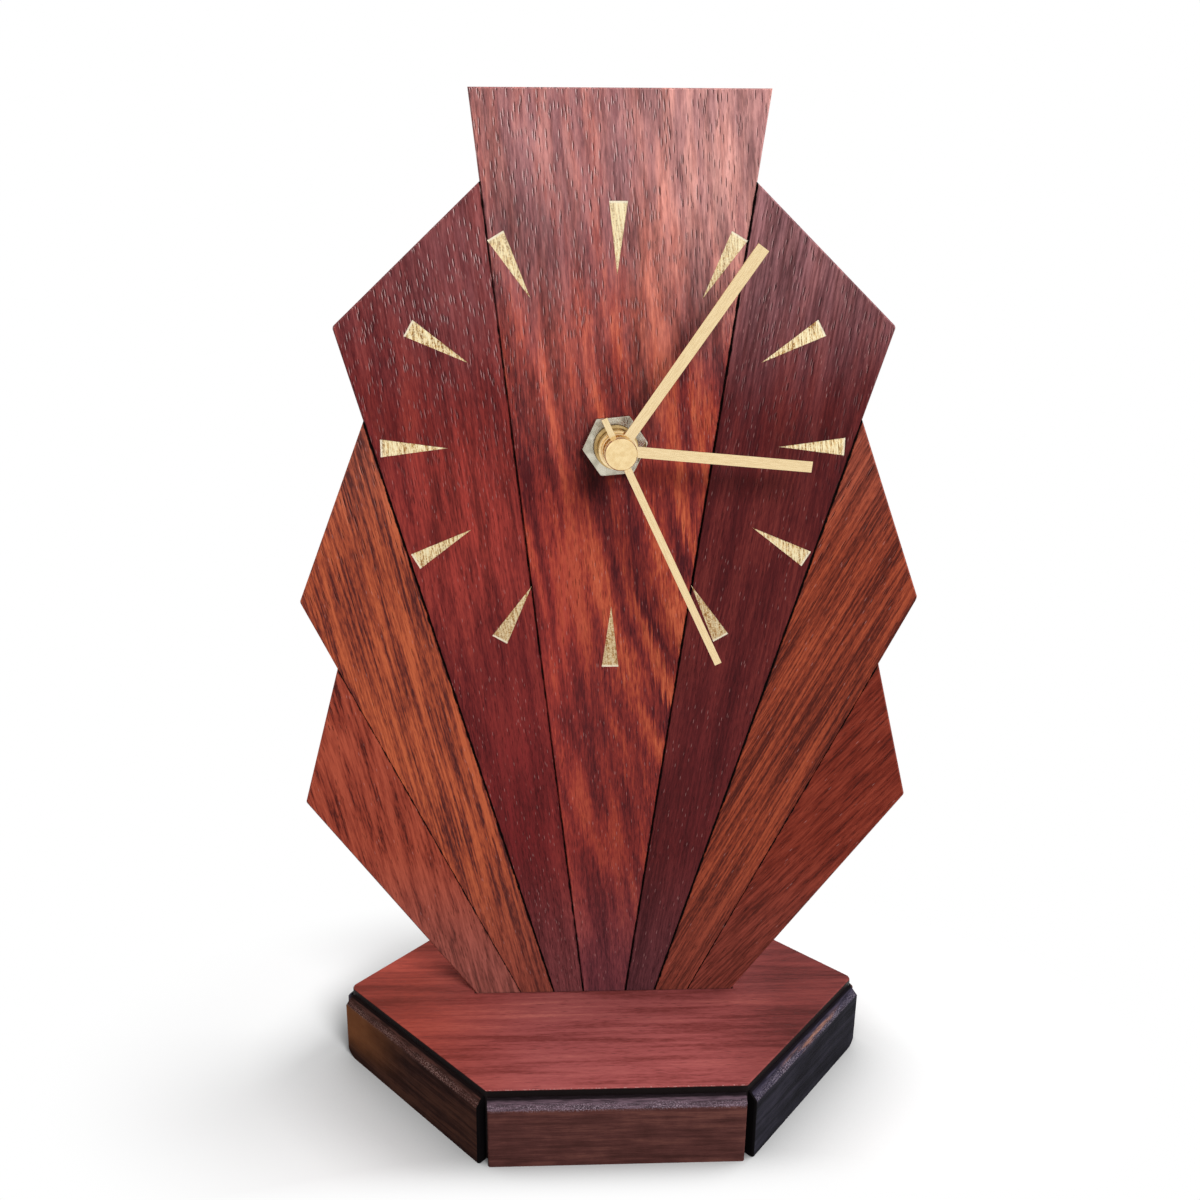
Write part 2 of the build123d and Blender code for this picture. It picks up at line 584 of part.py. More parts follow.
def make_minute_pipe():
    front_y = PANEL_FACE_Y - MINUTE_BLADE_STANDOFF - HAND_THICKNESS
    bore = disc(MINUTE_PIPE_BORE)
    pipe = dial_slab(disc(MINUTE_PIPE_DIAMETER) - bore, front_y, CENTRE_WHEEL_Y + WHEEL_THICKNESS)
    pinion = gear(
        CANNON_PINION_TEETH, MOTION_WORK_MODULE, PINION_TOOTH_SHARE, (0.0, 0.0),
        gap_at=direction((0.0, 0.0), MINUTE_ARBOR))
    return pipe + dial_slab(pinion - bore, CANNON_PINION_Y, CANNON_PINION_Y + PINION_LENGTH)


def make_minute_wheel():
    facing = direction(MINUTE_ARBOR, (0.0, 0.0))
    pinion = gear(
        MINUTE_PINION_TEETH, MOTION_WORK_MODULE, PINION_TOOTH_SHARE, MINUTE_ARBOR, gap_at=facing)
    wheel = gear(
        MINUTE_WHEEL_TEETH, MOTION_WORK_MODULE, WHEEL_TOOTH_SHARE, MINUTE_ARBOR, tooth_at=facing)
    shaft = arbor(MINUTE_ARBOR, MINUTE_PINION_Y, COVER_Y)
    shaft += dial_slab(pinion, MINUTE_PINION_Y, MINUTE_WHEEL_Y)
    return shaft + dial_slab(wheel, MINUTE_WHEEL_Y, MINUTE_WHEEL_Y + WHEEL_THICKNESS)


def make_hour_wheel():
    front_y = PANEL_FACE_Y - HOUR_BLADE_STANDOFF - HAND_THICKNESS
    bore = disc(HOUR_PIPE_BORE)
    wheel = gear(
        HOUR_WHEEL_TEETH, MOTION_WORK_MODULE, WHEEL_TOOTH_SHARE, (0.0, 0.0),
        tooth_at=direction((0.0, 0.0), MINUTE_ARBOR))
    pipe = dial_slab(disc(HOUR_PIPE_DIAMETER) - bore, front_y, HOUR_WHEEL_Y)
    return pipe + dial_slab(wheel - bore, HOUR_WHEEL_Y, HOUR_WHEEL_Y + WHEEL_THICKNESS)


def make_setting_knob():
    """Ribbed knob on the minute wheel's arbor, behind the rear cover."""
    front_y = COVER_BACK_Y + KNOB_GAP
    radius = KNOB_DIAMETER / 2
    rim = toothed(KNOB_RIBS, radius - KNOB_RIB_HEIGHT, radius, KNOB_RIB_SHARE)
    knob = dial_slab(Pos(*MINUTE_ARBOR) * rim, front_y, front_y + KNOB_HEIGHT)
    return knob + dial_slab(disc(KNOB_STEM_DIAMETER, MINUTE_ARBOR), COVER_Y, front_y)


def case_outline(margin=0.0):
    """Rounded outline of the housing, drawn in by a margin."""
    outline = box_sketch(
        -CASE_HALF_WIDTH + margin, CASE_HALF_WIDTH - margin, CASE_FOOT_Z + margin, CASE_TOP_Z - margin)
    return fillet(outline.vertices(), CASE_CORNER_RADIUS - margin)


def train_room(clearance=0.0):
    """Space for the train above the divider, or a plate that fits in it."""
    above = box_sketch(-CASE_HALF_WIDTH, CASE_HALF_WIDTH, -TRAIN_ROOM_BELOW + clearance, CASE_TOP_Z)
    return case_outline(CASE_WALL + clearance) & above


def cell_bay():
    below = box_sketch(-CASE_HALF_WIDTH, CASE_HALF_WIDTH, CASE_FOOT_Z, BAY_TOP_Z)
    return case_outline(CASE_WALL) & below


def corner_posts():
    """Square posts in the four corners of the train's room, which carry the train plate."""
    left = box_sketch(-BAY_HALF_WIDTH, -BAY_HALF_WIDTH + POST_WIDTH, -TRAIN_ROOM_BELOW, TRAIN_ROOM_ABOVE)
    right = box_sketch(BAY_HALF_WIDTH - POST_WIDTH, BAY_HALF_WIDTH, -TRAIN_ROOM_BELOW, TRAIN_ROOM_ABOVE)
    between = box_sketch(
        -BAY_HALF_WIDTH, BAY_HALF_WIDTH, -TRAIN_ROOM_BELOW + POST_WIDTH, TRAIN_ROOM_ABOVE - POST_WIDTH)
    return ((left + right) - between) & train_room()


def make_movement_case():
    shell = dial_slab(case_outline(), CASE_FRONT_Y, COVER_Y)
    shell -= dial_slab(train_room(), CASE_FLOOR_Y, COVER_Y)
    shell -= dial_slab(cell_bay(), CASE_FLOOR_Y, COVER_Y)
    shell += dial_slab(corner_posts(), CASE_FLOOR_Y, TRAIN_PLATE_Y)
    return shell - dial_slab(disc(BUSH_DIAMETER), CASE_FRONT_Y, CASE_FLOOR_Y)


def make_rear_cover():
    cover = dial_slab(case_outline() - cell_bay(), COVER_Y, COVER_BACK_Y)
    stem_hole = disc(KNOB_STEM_DIAMETER + 2 * PIVOT_CLEARANCE, MINUTE_ARBOR)
    cover -= dial_slab(stem_hole, COVER_Y, COVER_BACK_Y)
    bore = ARBOR_DIAMETER + 2 * PIVOT_CLEARANCE
    pivots = [(0.0, 0.0), THIRD_ARBOR, INTERMEDIATE_ARBOR, ROTOR_ARBOR]
    margin = bore / 2 + PIVOT_BLOCK_WALL
    xs = [x for x, z in pivots]
    zs = [z for x, z in pivots]
    block = box_sketch(min(xs) - margin, max(xs) + margin, min(zs) - margin, max(zs) + margin)
    for place in pivots:
        block -= disc(bore, place)
    return cover + dial_slab(block, PIVOT_BLOCK_Y, COVER_Y)


def coil_left():
    """Left end of the coil, which lies centred over the rotor."""
    return ROTOR_ARBOR[0] - COIL_LENGTH / 2


def coil_right():
    return ROTOR_ARBOR[0] + COIL_LENGTH / 2


def make_train_plate():
    window = COIL_DIAMETER / 2 + COIL_CLEARANCE
    plate = train_room(TRAIN_PLATE_CLEARANCE)
    left = coil_left() - COIL_CLEARANCE
    right = coil_right() + COIL_CLEARANCE
    plate -= box_sketch(left, right, COIL_HEIGHT - window, COIL_HEIGHT + window)
    bore = ARBOR_DIAMETER + 2 * PIVOT_CLEARANCE
    for place in (THIRD_ARBOR, INTERMEDIATE_ARBOR, ROTOR_ARBOR, MINUTE_ARBOR):
        plate -= disc(bore, place)
    plate -= disc(SECOND_ARBOR_DIAMETER + 2 * PIVOT_CLEARANCE)
    return dial_slab(plate, TRAIN_PLATE_Y, TRAIN_PLATE_BACK_Y)


def make_stator():
    """Flat stator with a round eye for the rotor and two arms up to the ends of the coil core."""
    eye = MAGNET_DIAMETER + 2 * MAGNET_GAP
    rotor_x, rotor_z = ROTOR_ARBOR
    left = coil_left() - COIL_CLEARANCE
    right = coil_right() + COIL_CLEARANCE
    arm_top = COIL_HEIGHT + CORE_WIDTH
    link_foot = rotor_z + ARBOR_DIAMETER
    link_top = link_foot + STATOR_ARM_WIDTH
    shape = disc(eye + 2 * STATOR_EYE_WALL, ROTOR_ARBOR)
    shape += box_sketch(left - STATOR_ARM_WIDTH, right + STATOR_ARM_WIDTH, link_foot, link_top)
    shape += box_sketch(left - STATOR_ARM_WIDTH, left, link_foot, arm_top)
    shape += box_sketch(right, right + STATOR_ARM_WIDTH, link_foot, arm_top)
    shape -= disc(eye, ROTOR_ARBOR)
    return dial_slab(shape, TRAIN_PLATE_BACK_Y, STATOR_BACK_Y)


def make_coil_core():
    reach = COIL_CLEARANCE + STATOR_ARM_WIDTH
    half = CORE_WIDTH / 2
    bar = box_sketch(coil_left() - reach, coil_right() + reach, COIL_HEIGHT - half, COIL_HEIGHT + half)
    return dial_slab(bar, STATOR_BACK_Y, CORE_BACK_Y)


def coil_tube(outer, inner_width, inner_depth, start, end):
    """Length of the coil along X with a given outer section and a hole round the core."""
    across = Plane(origin=(start, COIL_Y, DIAL_Z + COIL_HEIGHT), x_dir=(0, 1, 0), z_dir=(1, 0, 0))
    ring = across * (outer - Rectangle(inner_depth, inner_width))
    return extrude(ring, amount=end - start)


def make_coil_bobbin():
    barrel = Rectangle(CORE_THICKNESS + 2 * BOBBIN_WALL, CORE_WIDTH + 2 * BOBBIN_WALL)
    flange = Rectangle(COIL_DIAMETER, COIL_DIAMETER)
    left = coil_left()
    right = coil_right()
    bobbin = coil_tube(barrel, CORE_WIDTH, CORE_THICKNESS, left, right)
    bobbin += coil_tube(flange, CORE_WIDTH, CORE_THICKNESS, left, left + BOBBIN_FLANGE_THICKNESS)
    return bobbin + coil_tube(flange, CORE_WIDTH, CORE_THICKNESS, right - BOBBIN_FLANGE_THICKNESS, right)


def make_coil_winding():
    wound = Circle(COIL_DIAMETER / 2 - COIL_CLEARANCE / 2)
    return coil_tube(
        wound, CORE_WIDTH + 2 * BOBBIN_WALL, CORE_THICKNESS + 2 * BOBBIN_WALL,
        coil_left() + BOBBIN_FLANGE_THICKNESS, coil_right() - BOBBIN_FLANGE_THICKNESS)


def make_circuit_board():
    left = -BAY_HALF_WIDTH + BOARD_MARGIN
    top = TRAIN_ROOM_ABOVE - BOARD_MARGIN
    return dial_slab(
        box_sketch(left, left + BOARD_LENGTH, top - BOARD_HEIGHT, top), TRAIN_PLATE_BACK_Y, BOARD_BACK_Y)


def make_quartz_crystal():
    start_x = -BAY_HALF_WIDTH + BOARD_MARGIN + BOARD_LENGTH / 2 - CRYSTAL_LENGTH / 2
    middle_z = DIAL_Z + TRAIN_ROOM_ABOVE - BOARD_MARGIN - BOARD_HEIGHT / 2
    across = Plane(
        origin=(start_x, BOARD_BACK_Y + CRYSTAL_DIAMETER / 2, middle_z), x_dir=(0, 1, 0), z_dir=(1, 0, 0))
    return extrude(across * Circle(CRYSTAL_DIAMETER / 2), amount=CRYSTAL_LENGTH)


def make_positive_contact():
    """Flat contact plate against the right wall of the cell bay."""
    front_y = CELL_Y - CONTACT_WIDTH / 2
    back_y = CELL_Y + CONTACT_WIDTH / 2
    plate = box_sketch(
        BAY_HALF_WIDTH - CONTACT_THICKNESS, BAY_HALF_WIDTH,
        CELL_Z - CONTACT_HEIGHT / 2, CELL_Z + CONTACT_HEIGHT / 2)
    return dial_slab(plate, front_y, back_y)


def make_negative_contact():
    """Leaf spring bent out from the left wall of the cell bay towards the cell."""
    wall = -BAY_HALF_WIDTH
    half = CONTACT_HEIGHT / 2
    leaf = Polyline(
        (wall + CONTACT_THICKNESS / 2, CELL_Z - half),
        (wall + CONTACT_THICKNESS / 2, CELL_Z + half),
        (wall + LEAF_DEPTH - CONTACT_THICKNESS / 2, CELL_Z),
        (wall + LEAF_DEPTH - CONTACT_THICKNESS / 2, CELL_Z - half / 2),
    )
    strip = trace(leaf, CONTACT_THICKNESS)
    return dial_slab(strip, CELL_Y - CONTACT_WIDTH / 2, CELL_Y + CONTACT_WIDTH / 2)


def make_battery():
    """AA cell lying along X, its positive end towards +X."""
    nub_end = BAY_HALF_WIDTH - CONTACT_THICKNESS - CONTACT_CLEARANCE
    shoulder = nub_end - CELL_NUB_LENGTH
    start = nub_end - CELL_LENGTH
    radius = CELL_DIAMETER / 2
    rim = radius - CELL_EDGE_BEVEL
    nub = CELL_NUB_DIAMETER / 2
    section = Polygon(
        (start, 0),
        (start, rim),
        (start + CELL_EDGE_BEVEL, radius),
        (shoulder - CELL_EDGE_BEVEL, radius),
        (shoulder, rim),
        (shoulder, nub),
        (nub_end, nub),
        (nub_end, 0),
        align=None,
    )
    return Pos(0, CELL_Y, DIAL_Z + CELL_Z) * revolve(section, Axis.X)


def build():
    nodes = {"base_plate": make_base_plate()}
    nodes.update(make_strips())
    nodes.update(make_panel())
    nodes["hour_marks"] = Compound(children=make_hour_marks())
    nodes["threaded_bush"] = make_bush()
    nodes["hex_nut"] = make_nut()
    nodes["rubber_washer"] = make_rubber_washer()
    nodes["hour_hand"] = make_hour_hand()
    nodes["minute_hand"] = make_minute_hand()
    nodes["second_hand"] = make_second_hand()
    nodes["second_hand_cap"] = make_cap()
    nodes["seconds_wheel"] = make_seconds_wheel()
    nodes["third_wheel"] = make_third_wheel()
    nodes["centre_wheel"] = make_centre_wheel()
    nodes["intermediate_wheel"] = make_intermediate_wheel()
    nodes["rotor"] = make_rotor()
    nodes["minute_pipe"] = make_minute_pipe()
    nodes["minute_wheel"] = make_minute_wheel()
    nodes["hour_wheel"] = make_hour_wheel()
    nodes["setting_knob"] = make_setting_knob()
    nodes["movement_case"] = make_movement_case()
    nodes["rear_cover"] = make_rear_cover()
    nodes["train_plate"] = make_train_plate()
    nodes["stator"] = make_stator()
    nodes["coil_core"] = make_coil_core()
    nodes["coil_bobbin"] = make_coil_bobbin()
    nodes["coil_winding"] = make_coil_winding()
    nodes["circuit_board"] = make_circuit_board()
    nodes["quartz_crystal"] = make_quartz_crystal()
    nodes["positive_contact"] = make_positive_contact()
    nodes["negative_contact"] = make_negative_contact()
    nodes["battery"] = make_battery()
    return nodes


def main():
    os.makedirs(PARTS_FOLDER, exist_ok=True)
    for name, shape in build().items():
        export_step(shape, os.path.join(PARTS_FOLDER, name + ".step"))


main()
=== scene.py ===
import json
from math import cos, pi, radians, sin, sqrt, tan

import bmesh
import bpy
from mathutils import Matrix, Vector, noise


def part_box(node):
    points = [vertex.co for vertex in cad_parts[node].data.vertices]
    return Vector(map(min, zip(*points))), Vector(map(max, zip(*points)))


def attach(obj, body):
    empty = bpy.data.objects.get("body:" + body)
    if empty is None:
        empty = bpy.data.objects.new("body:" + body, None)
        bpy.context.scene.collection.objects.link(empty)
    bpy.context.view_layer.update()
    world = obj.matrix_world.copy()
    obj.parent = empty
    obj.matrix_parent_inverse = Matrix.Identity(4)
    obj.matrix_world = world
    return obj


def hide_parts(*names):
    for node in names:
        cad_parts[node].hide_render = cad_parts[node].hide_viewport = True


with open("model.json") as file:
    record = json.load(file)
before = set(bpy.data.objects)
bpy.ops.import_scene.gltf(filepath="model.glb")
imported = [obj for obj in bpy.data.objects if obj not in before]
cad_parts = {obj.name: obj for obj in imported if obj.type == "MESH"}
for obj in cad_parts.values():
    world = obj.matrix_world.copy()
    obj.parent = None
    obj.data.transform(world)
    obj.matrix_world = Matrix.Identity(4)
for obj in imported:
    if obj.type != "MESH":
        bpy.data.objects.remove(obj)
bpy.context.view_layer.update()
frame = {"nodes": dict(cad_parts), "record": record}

nodes = frame["nodes"]
MM = 0.001


def tone(red, green, blue):
    """Colour given as it looks on a screen, 0 to 255, as the linear values a shader takes."""
    linear = []
    for part in (red, green, blue):
        share = part / 255
        linear.append(share / 12.92 if share <= 0.04045 else ((share + 0.055) / 1.055) ** 2.4)
    return (*linear, 1.0)


# Sizes that the woods and the small pieces follow, in millimetres, read from the frame
base_low, base_high = (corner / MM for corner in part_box("base_plate"))
stave_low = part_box("stave_centre")[0] / MM
strip_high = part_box("base_strip_front")[1] / MM
bush_low, bush_high = (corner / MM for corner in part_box("threaded_bush"))
nut_low, nut_high = (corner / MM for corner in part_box("hex_nut"))
winding_low, winding_high = (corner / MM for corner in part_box("coil_winding"))
cell_low, cell_high = (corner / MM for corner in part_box("battery"))
marks_low, marks_high = (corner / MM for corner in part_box("hour_marks"))
BASE_TOP = base_high.z
BASE_FRONT = base_low.y
PANEL_FACE = stave_low.y
STRIP_TOP = strip_high.z
STRIP_BEVEL = 1.9
DIAL_Z = (nut_low.z + nut_high.z) / 2
FAN_FOCUS_Z = BASE_TOP - 45.5
CENTRE_JOINT = radians(6.87)
INNER_JOINT = radians(16.1)
MIDDLE_JOINT = radians(25.5)
FOOT_ANGLE = radians(36.3)
INNER_TOP, MIDDLE_TOP, OUTER_TOP = (
    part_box("stave_" + board + "_left")[1].z / MM for board in ("inner", "middle", "outer"))
HAND_ANGLES = {"hour_hand": radians(95.1), "minute_hand": radians(34.6), "second_hand": radians(154.2)}


# Placing nodes
def put(tree, kind, sockets=None, **settings):
    """Place a node with its settings, and with values or links on its sockets."""
    node = tree.nodes.new(kind)
    for name, value in settings.items():
        setattr(node, name, value)
    for key, value in (sockets or {}).items():
        if isinstance(value, bpy.types.NodeSocket):
            tree.links.new(value, node.inputs[key])
        else:
            node.inputs[key].default_value = value
    return node


def work(tree, operation, first, second=0.0, third=0.0):
    return put(tree, "ShaderNodeMath", {0: first, 1: second, 2: third}, operation=operation).outputs[0]


def times(tree, first, *others):
    """Product of masks and values."""
    for other in others:
        first = work(tree, "MULTIPLY", first, other)
    return first


def weighed(tree, masks, weights):
    """Sum of masks, each times its weight."""
    total = 0.0
    for value, weight in zip(masks, weights):
        total = work(tree, "MULTIPLY_ADD", value, weight, total)
    return total


def between(tree, share, low, high):
    """Mix of two masks or numbers."""
    return put(tree, "ShaderNodeMix", {0: share, 2: low, 3: high}).outputs[0]


def length(tree, vector):
    return put(tree, "ShaderNodeVectorMath", {0: vector}, operation="LENGTH").outputs[1]


def ease(tree, value, low, high):
    """Mask that rises smoothly from 0 at one value to 1 at another."""
    sockets = {"Value": value, "From Min": low, "From Max": high}
    return put(tree, "ShaderNodeMapRange", sockets, interpolation_type="SMOOTHSTEP").outputs["Result"]


def tint(tree, share, under, upper):
    """Lay a share of one colour over another."""
    return put(tree, "ShaderNodeMix", {0: share, 6: under, 7: upper}, data_type="RGBA").outputs[2]


def apart(tree, vector):
    return put(tree, "ShaderNodeSeparateXYZ", {0: vector}).outputs


def joined(tree, x, y, z):
    return put(tree, "ShaderNodeCombineXYZ", {0: x, 1: y, 2: z}).outputs[0]


def over(tree, vector, sizes):
    return put(tree, "ShaderNodeVectorMath", {0: vector, 1: sizes}, operation="DIVIDE").outputs[0]


def cloud(tree, vector, detail, roughness=0.5):
    sockets = {"Vector": vector, "Scale": 1.0, "Detail": detail, "Roughness": roughness}
    return put(tree, "ShaderNodeTexNoise", sockets).outputs["Fac"]


def group(name, inputs, output):
    """Start a node group; inputs are names with a default, and a vector where the default is None."""
    tree = bpy.data.node_groups.new(name, "ShaderNodeTree")
    for label, value in inputs.items():
        kind = "NodeSocketVector" if value is None else "NodeSocketFloat"
        socket = tree.interface.new_socket(label, in_out="INPUT", socket_type=kind)
        if value is not None:
            socket.default_value = value
    tree.interface.new_socket(output, in_out="OUTPUT", socket_type="NodeSocketFloat")
    given = tree.nodes.new("NodeGroupInput").outputs
    result = tree.nodes.new("NodeGroupOutput").inputs
    return tree, given, result


def mask(tree, made, **sockets):
    """Place a node group and give its output; socket names have underscores for spaces."""
    node = put(tree, "ShaderNodeGroup", None, node_tree=made)
    for key, value in sockets.items():
        socket = node.inputs[key.replace("_", " ")]
        if isinstance(value, bpy.types.NodeSocket):
            tree.links.new(value, socket)
        else:
            socket.default_value = value
    return node.outputs[0]


# Shared effects
def make_grain_streaks():
    """Streaks that lie at a slant to the fibres, which run along the vector's Z, with feathered edges."""
    tree, given, result = group(
        "grain_streaks",
        {"Vector": None, "Slant": 0.0, "Width": 6.0, "Length": 80.0, "Feather": 8.0, "Sway": 4.0},
        "Streak")
    feather_cell = (0.45, 0.45, 26.0)
    sway_cell = (22.0, 22.0, 60.0)
    feather = work(tree, "SUBTRACT", cloud(tree, over(tree, given["Vector"], feather_cell), 1.0), 0.5)
    sway = work(tree, "SUBTRACT", cloud(tree, over(tree, given["Vector"], sway_cell), 1.0), 0.5)
    x, y, z = apart(tree, given["Vector"])
    across = work(tree, "MULTIPLY_ADD", sway, given["Sway"], x)
    upward = work(tree, "MULTIPLY_ADD", feather, given["Feather"], z)
    lean = work(tree, "COSINE", given["Slant"])
    rise = work(tree, "SINE", given["Slant"])
    band_x = work(tree, "MULTIPLY_ADD", upward, rise, times(tree, across, lean))
    crossing = times(tree, across, rise)
    band_z = work(tree, "SUBTRACT", times(tree, upward, lean), crossing)
    cell = joined(tree, given["Width"], given["Width"], given["Length"])
    streak = cloud(tree, over(tree, joined(tree, band_x, y, band_z), cell), 1.4, 0.5)
    tree.links.new(ease(tree, streak, 0.32, 0.68), result["Streak"])
    return tree


def make_fibres():
    tree, given, result = group("fibres", {"Vector": None, "Width": 0.2, "Length": 3.0}, "Fibre")
    cell = joined(tree, given["Width"], given["Width"], given["Length"])
    fibre = cloud(tree, over(tree, given["Vector"], cell), 2.0, 0.6)
    tree.links.new(ease(tree, fibre, 0.25, 0.75), result["Fibre"])
    return tree


def make_pore_dashes():
    """Short dashes along the grain, one in some of the cells that the spacing and the length make."""
    tree, given, result = group(
        "pore_dashes", {"Vector": None, "Spacing": 1.0, "Length": 6.0, "Share": 0.5}, "Dash")
    cell = joined(tree, given["Spacing"], given["Spacing"], given["Length"])
    spots = put(tree, "ShaderNodeTexVoronoi", {"Vector": over(tree, given["Vector"], cell), "Scale": 1.0})
    gather_cell = (2.4, 2.4, 16.0)
    gathered = ease(tree, cloud(tree, over(tree, given["Vector"], gather_cell), 1.0), 0.3, 0.7)
    share = times(tree, given["Share"], work(tree, "MULTIPLY_ADD", gathered, 0.9, 0.4))
    chosen = work(tree, "LESS_THAN", apart(tree, spots.outputs["Color"])[0], share)
    dash = ease(tree, spots.outputs["Distance"], 0.32, 0.12)
    tree.links.new(times(tree, dash, chosen), result["Dash"])
    return tree


def make_joint_gap():
    """Dark gap on both sides of the fan along one stave edge, a little uneven in width."""
    wanted = {"Vector": None, "Angle": 0.1, "Half Width": 0.35, "Top": 200.0}
    tree, given, result = group("joint_gap", wanted, "Gap")
    x, y, z = apart(tree, given["Vector"])
    out = times(tree, work(tree, "ABSOLUTE", x), work(tree, "COSINE", given["Angle"]))
    height = work(tree, "SUBTRACT", z, FAN_FOCUS_Z)
    edge = times(tree, height, work(tree, "SINE", given["Angle"]))
    distance = work(tree, "ABSOLUTE", work(tree, "SUBTRACT", out, edge))
    uneven_cell = (1.6, 1.6, 3.0)
    uneven = work(tree, "SUBTRACT", cloud(tree, over(tree, given["Vector"], uneven_cell), 3.0, 0.6), 0.5)
    distance = work(tree, "MULTIPLY_ADD", uneven, 0.8, distance)
    soft = 0.12
    inside = work(tree, "SUBTRACT", given["Half Width"], soft)
    outside = work(tree, "ADD", given["Half Width"], soft)
    below_top = work(tree, "LESS_THAN", z, given["Top"])
    gap = times(tree, ease(tree, distance, outside, inside), below_top)
    tree.links.new(gap, result["Gap"])
    return tree


def make_soft_patch():
    """Oval patch on the face of the panel that fades out towards its rim."""
    wanted = {"Vector": None, "Centre X": 0.0, "Centre Z": 0.0, "Reach X": 30.0, "Reach Z": 30.0}
    tree, given, result = group("soft_patch", wanted, "Patch")
    x, y, z = apart(tree, given["Vector"])
    aside = work(tree, "DIVIDE", work(tree, "SUBTRACT", x, given["Centre X"]), given["Reach X"])
    above = work(tree, "DIVIDE", work(tree, "SUBTRACT", z, given["Centre Z"]), given["Reach Z"])
    far = length(tree, joined(tree, aside, 0.0, above))
    tree.links.new(ease(tree, far, 1.0, 0.1), result["Patch"])
    return tree


def make_speckle():
    """Grainy spots of a size, more of them where the share is high."""
    tree, given, result = group("speckle", {"Vector": None, "Size": 0.5, "Share": 0.5}, "Speckle")
    cell = joined(tree, given["Size"], given["Size"], given["Size"])
    grain = cloud(tree, over(tree, given["Vector"], cell), 3.0, 0.65)
    edge = work(tree, "SUBTRACT", 0.85, times(tree, given["Share"], 0.7))
    tree.links.new(ease(tree, grain, edge, work(tree, "ADD", edge, 0.08)), result["Speckle"])
    return tree


grain_streaks = make_grain_streaks()
fibres = make_fibres()
pore_dashes = make_pore_dashes()
joint_gap = make_joint_gap()
soft_patch = make_soft_patch()
speckle = make_speckle()


# Materials
def material(name):
    made = bpy.data.materials.new(name)
    made.use_nodes = True
    made.node_tree.nodes.clear()
    return made, made.node_tree


def millimetres(tree, turn=(0.0, 0.0, 0.0), start=(0.0, 0.0, 0.0)):
    """Object coordinates in millimetres, turned and then moved."""
    place = put(tree, "ShaderNodeTexCoord").outputs["Object"]
    sockets = {"Vector": place, "Scale": (1 / MM,) * 3, "Rotation": turn, "Location": start}
    return put(tree, "ShaderNodeMapping", sockets).outputs["Vector"]


def turned(tree, vector, turn):
    return put(tree, "ShaderNodeMapping", {"Vector": vector, "Rotation": turn}).outputs["Vector"]


def shades(tree, level, stops):
    ramp = put(tree, "ShaderNodeValToRGB", {"Fac": level})
    ramp.color_ramp.elements[0].position = stops[0][0]
    ramp.color_ramp.elements[0].color = tone(*stops[0][1])
    ramp.color_ramp.elements[1].position = stops[-1][0]
    ramp.color_ramp.elements[1].color = tone(*stops[-1][1])
    for position, colour in stops[1:-1]:
        element = ramp.color_ramp.elements.new(position)
        element.color = tone(*colour)
    return ramp.outputs["Color"]


def grained(tree, level, colour, spread=0.22):
    """A colour that is darker and lighter with the grain."""
    dark = [part * (1.0 - spread) for part in colour]
    light = [min(part * (1.0 + spread), 255.0) for part in colour]
    return shades(tree, level, ((0.2, dark), (0.8, light)))


def finish(tree, colour, roughness, height, relief, **plain):
    """Principled surface with its colour, roughness and bump; plain values go straight on its sockets."""
    bump = put(tree, "ShaderNodeBump", {"Height": height, "Strength": 1.0, "Distance": relief * MM})
    sockets = {"Base Color": colour, "Roughness": roughness, "Normal": bump.outputs["Normal"]}
    for key, value in plain.items():
        sockets[key.replace("_", " ")] = value
    surface = put(tree, "ShaderNodeBsdfPrincipled", sockets)
    put(tree, "ShaderNodeOutputMaterial", {"Surface": surface.outputs[0]})


WOOD_FIBRE = dict(Width=0.34, Length=2.2)
WOOD_GLOSS = 0.07
STAVE_RELIEF = 0.1
STRIPE_COMB = 4.0
CALM_ABOVE = 0.3
CALM_BELOW = 0.35
CALM_FROM = 100.0
CALM_TO = 50.0
RAISED_BELOW_TOP_SHEEN = 25.0
SECOND_START = 31.0
SMOKE_STREAK = dict(Width=2.4, Length=15.0, Feather=7.0, Sway=4.0)
FOOT_HEIGHT = 45
FOOT_REFLECTION_SHARE = 0.75
# Painted glints: pale dashes in the pores
PORE_GLINT = tone(186, 140, 136)
PORE_GLINT_SIZE = dict(Spacing=0.3, Length=2.2)
PORE_GLINT_SHARE = 0.42
LIT_LIP = tone(222, 188, 186)
PORE_LIP = 0.22
GAP_COLOUR = tone(14, 8, 8)


def patch_share(tree, face, patch):
    """Mask of an oval patch on the panel, with its middle and its reach."""
    return mask(tree, soft_patch, Vector=face, Centre_X=patch["at"][0], Centre_Z=patch["at"][1],
                Reach_X=patch["reach"][0], Reach_Z=patch["reach"][1])


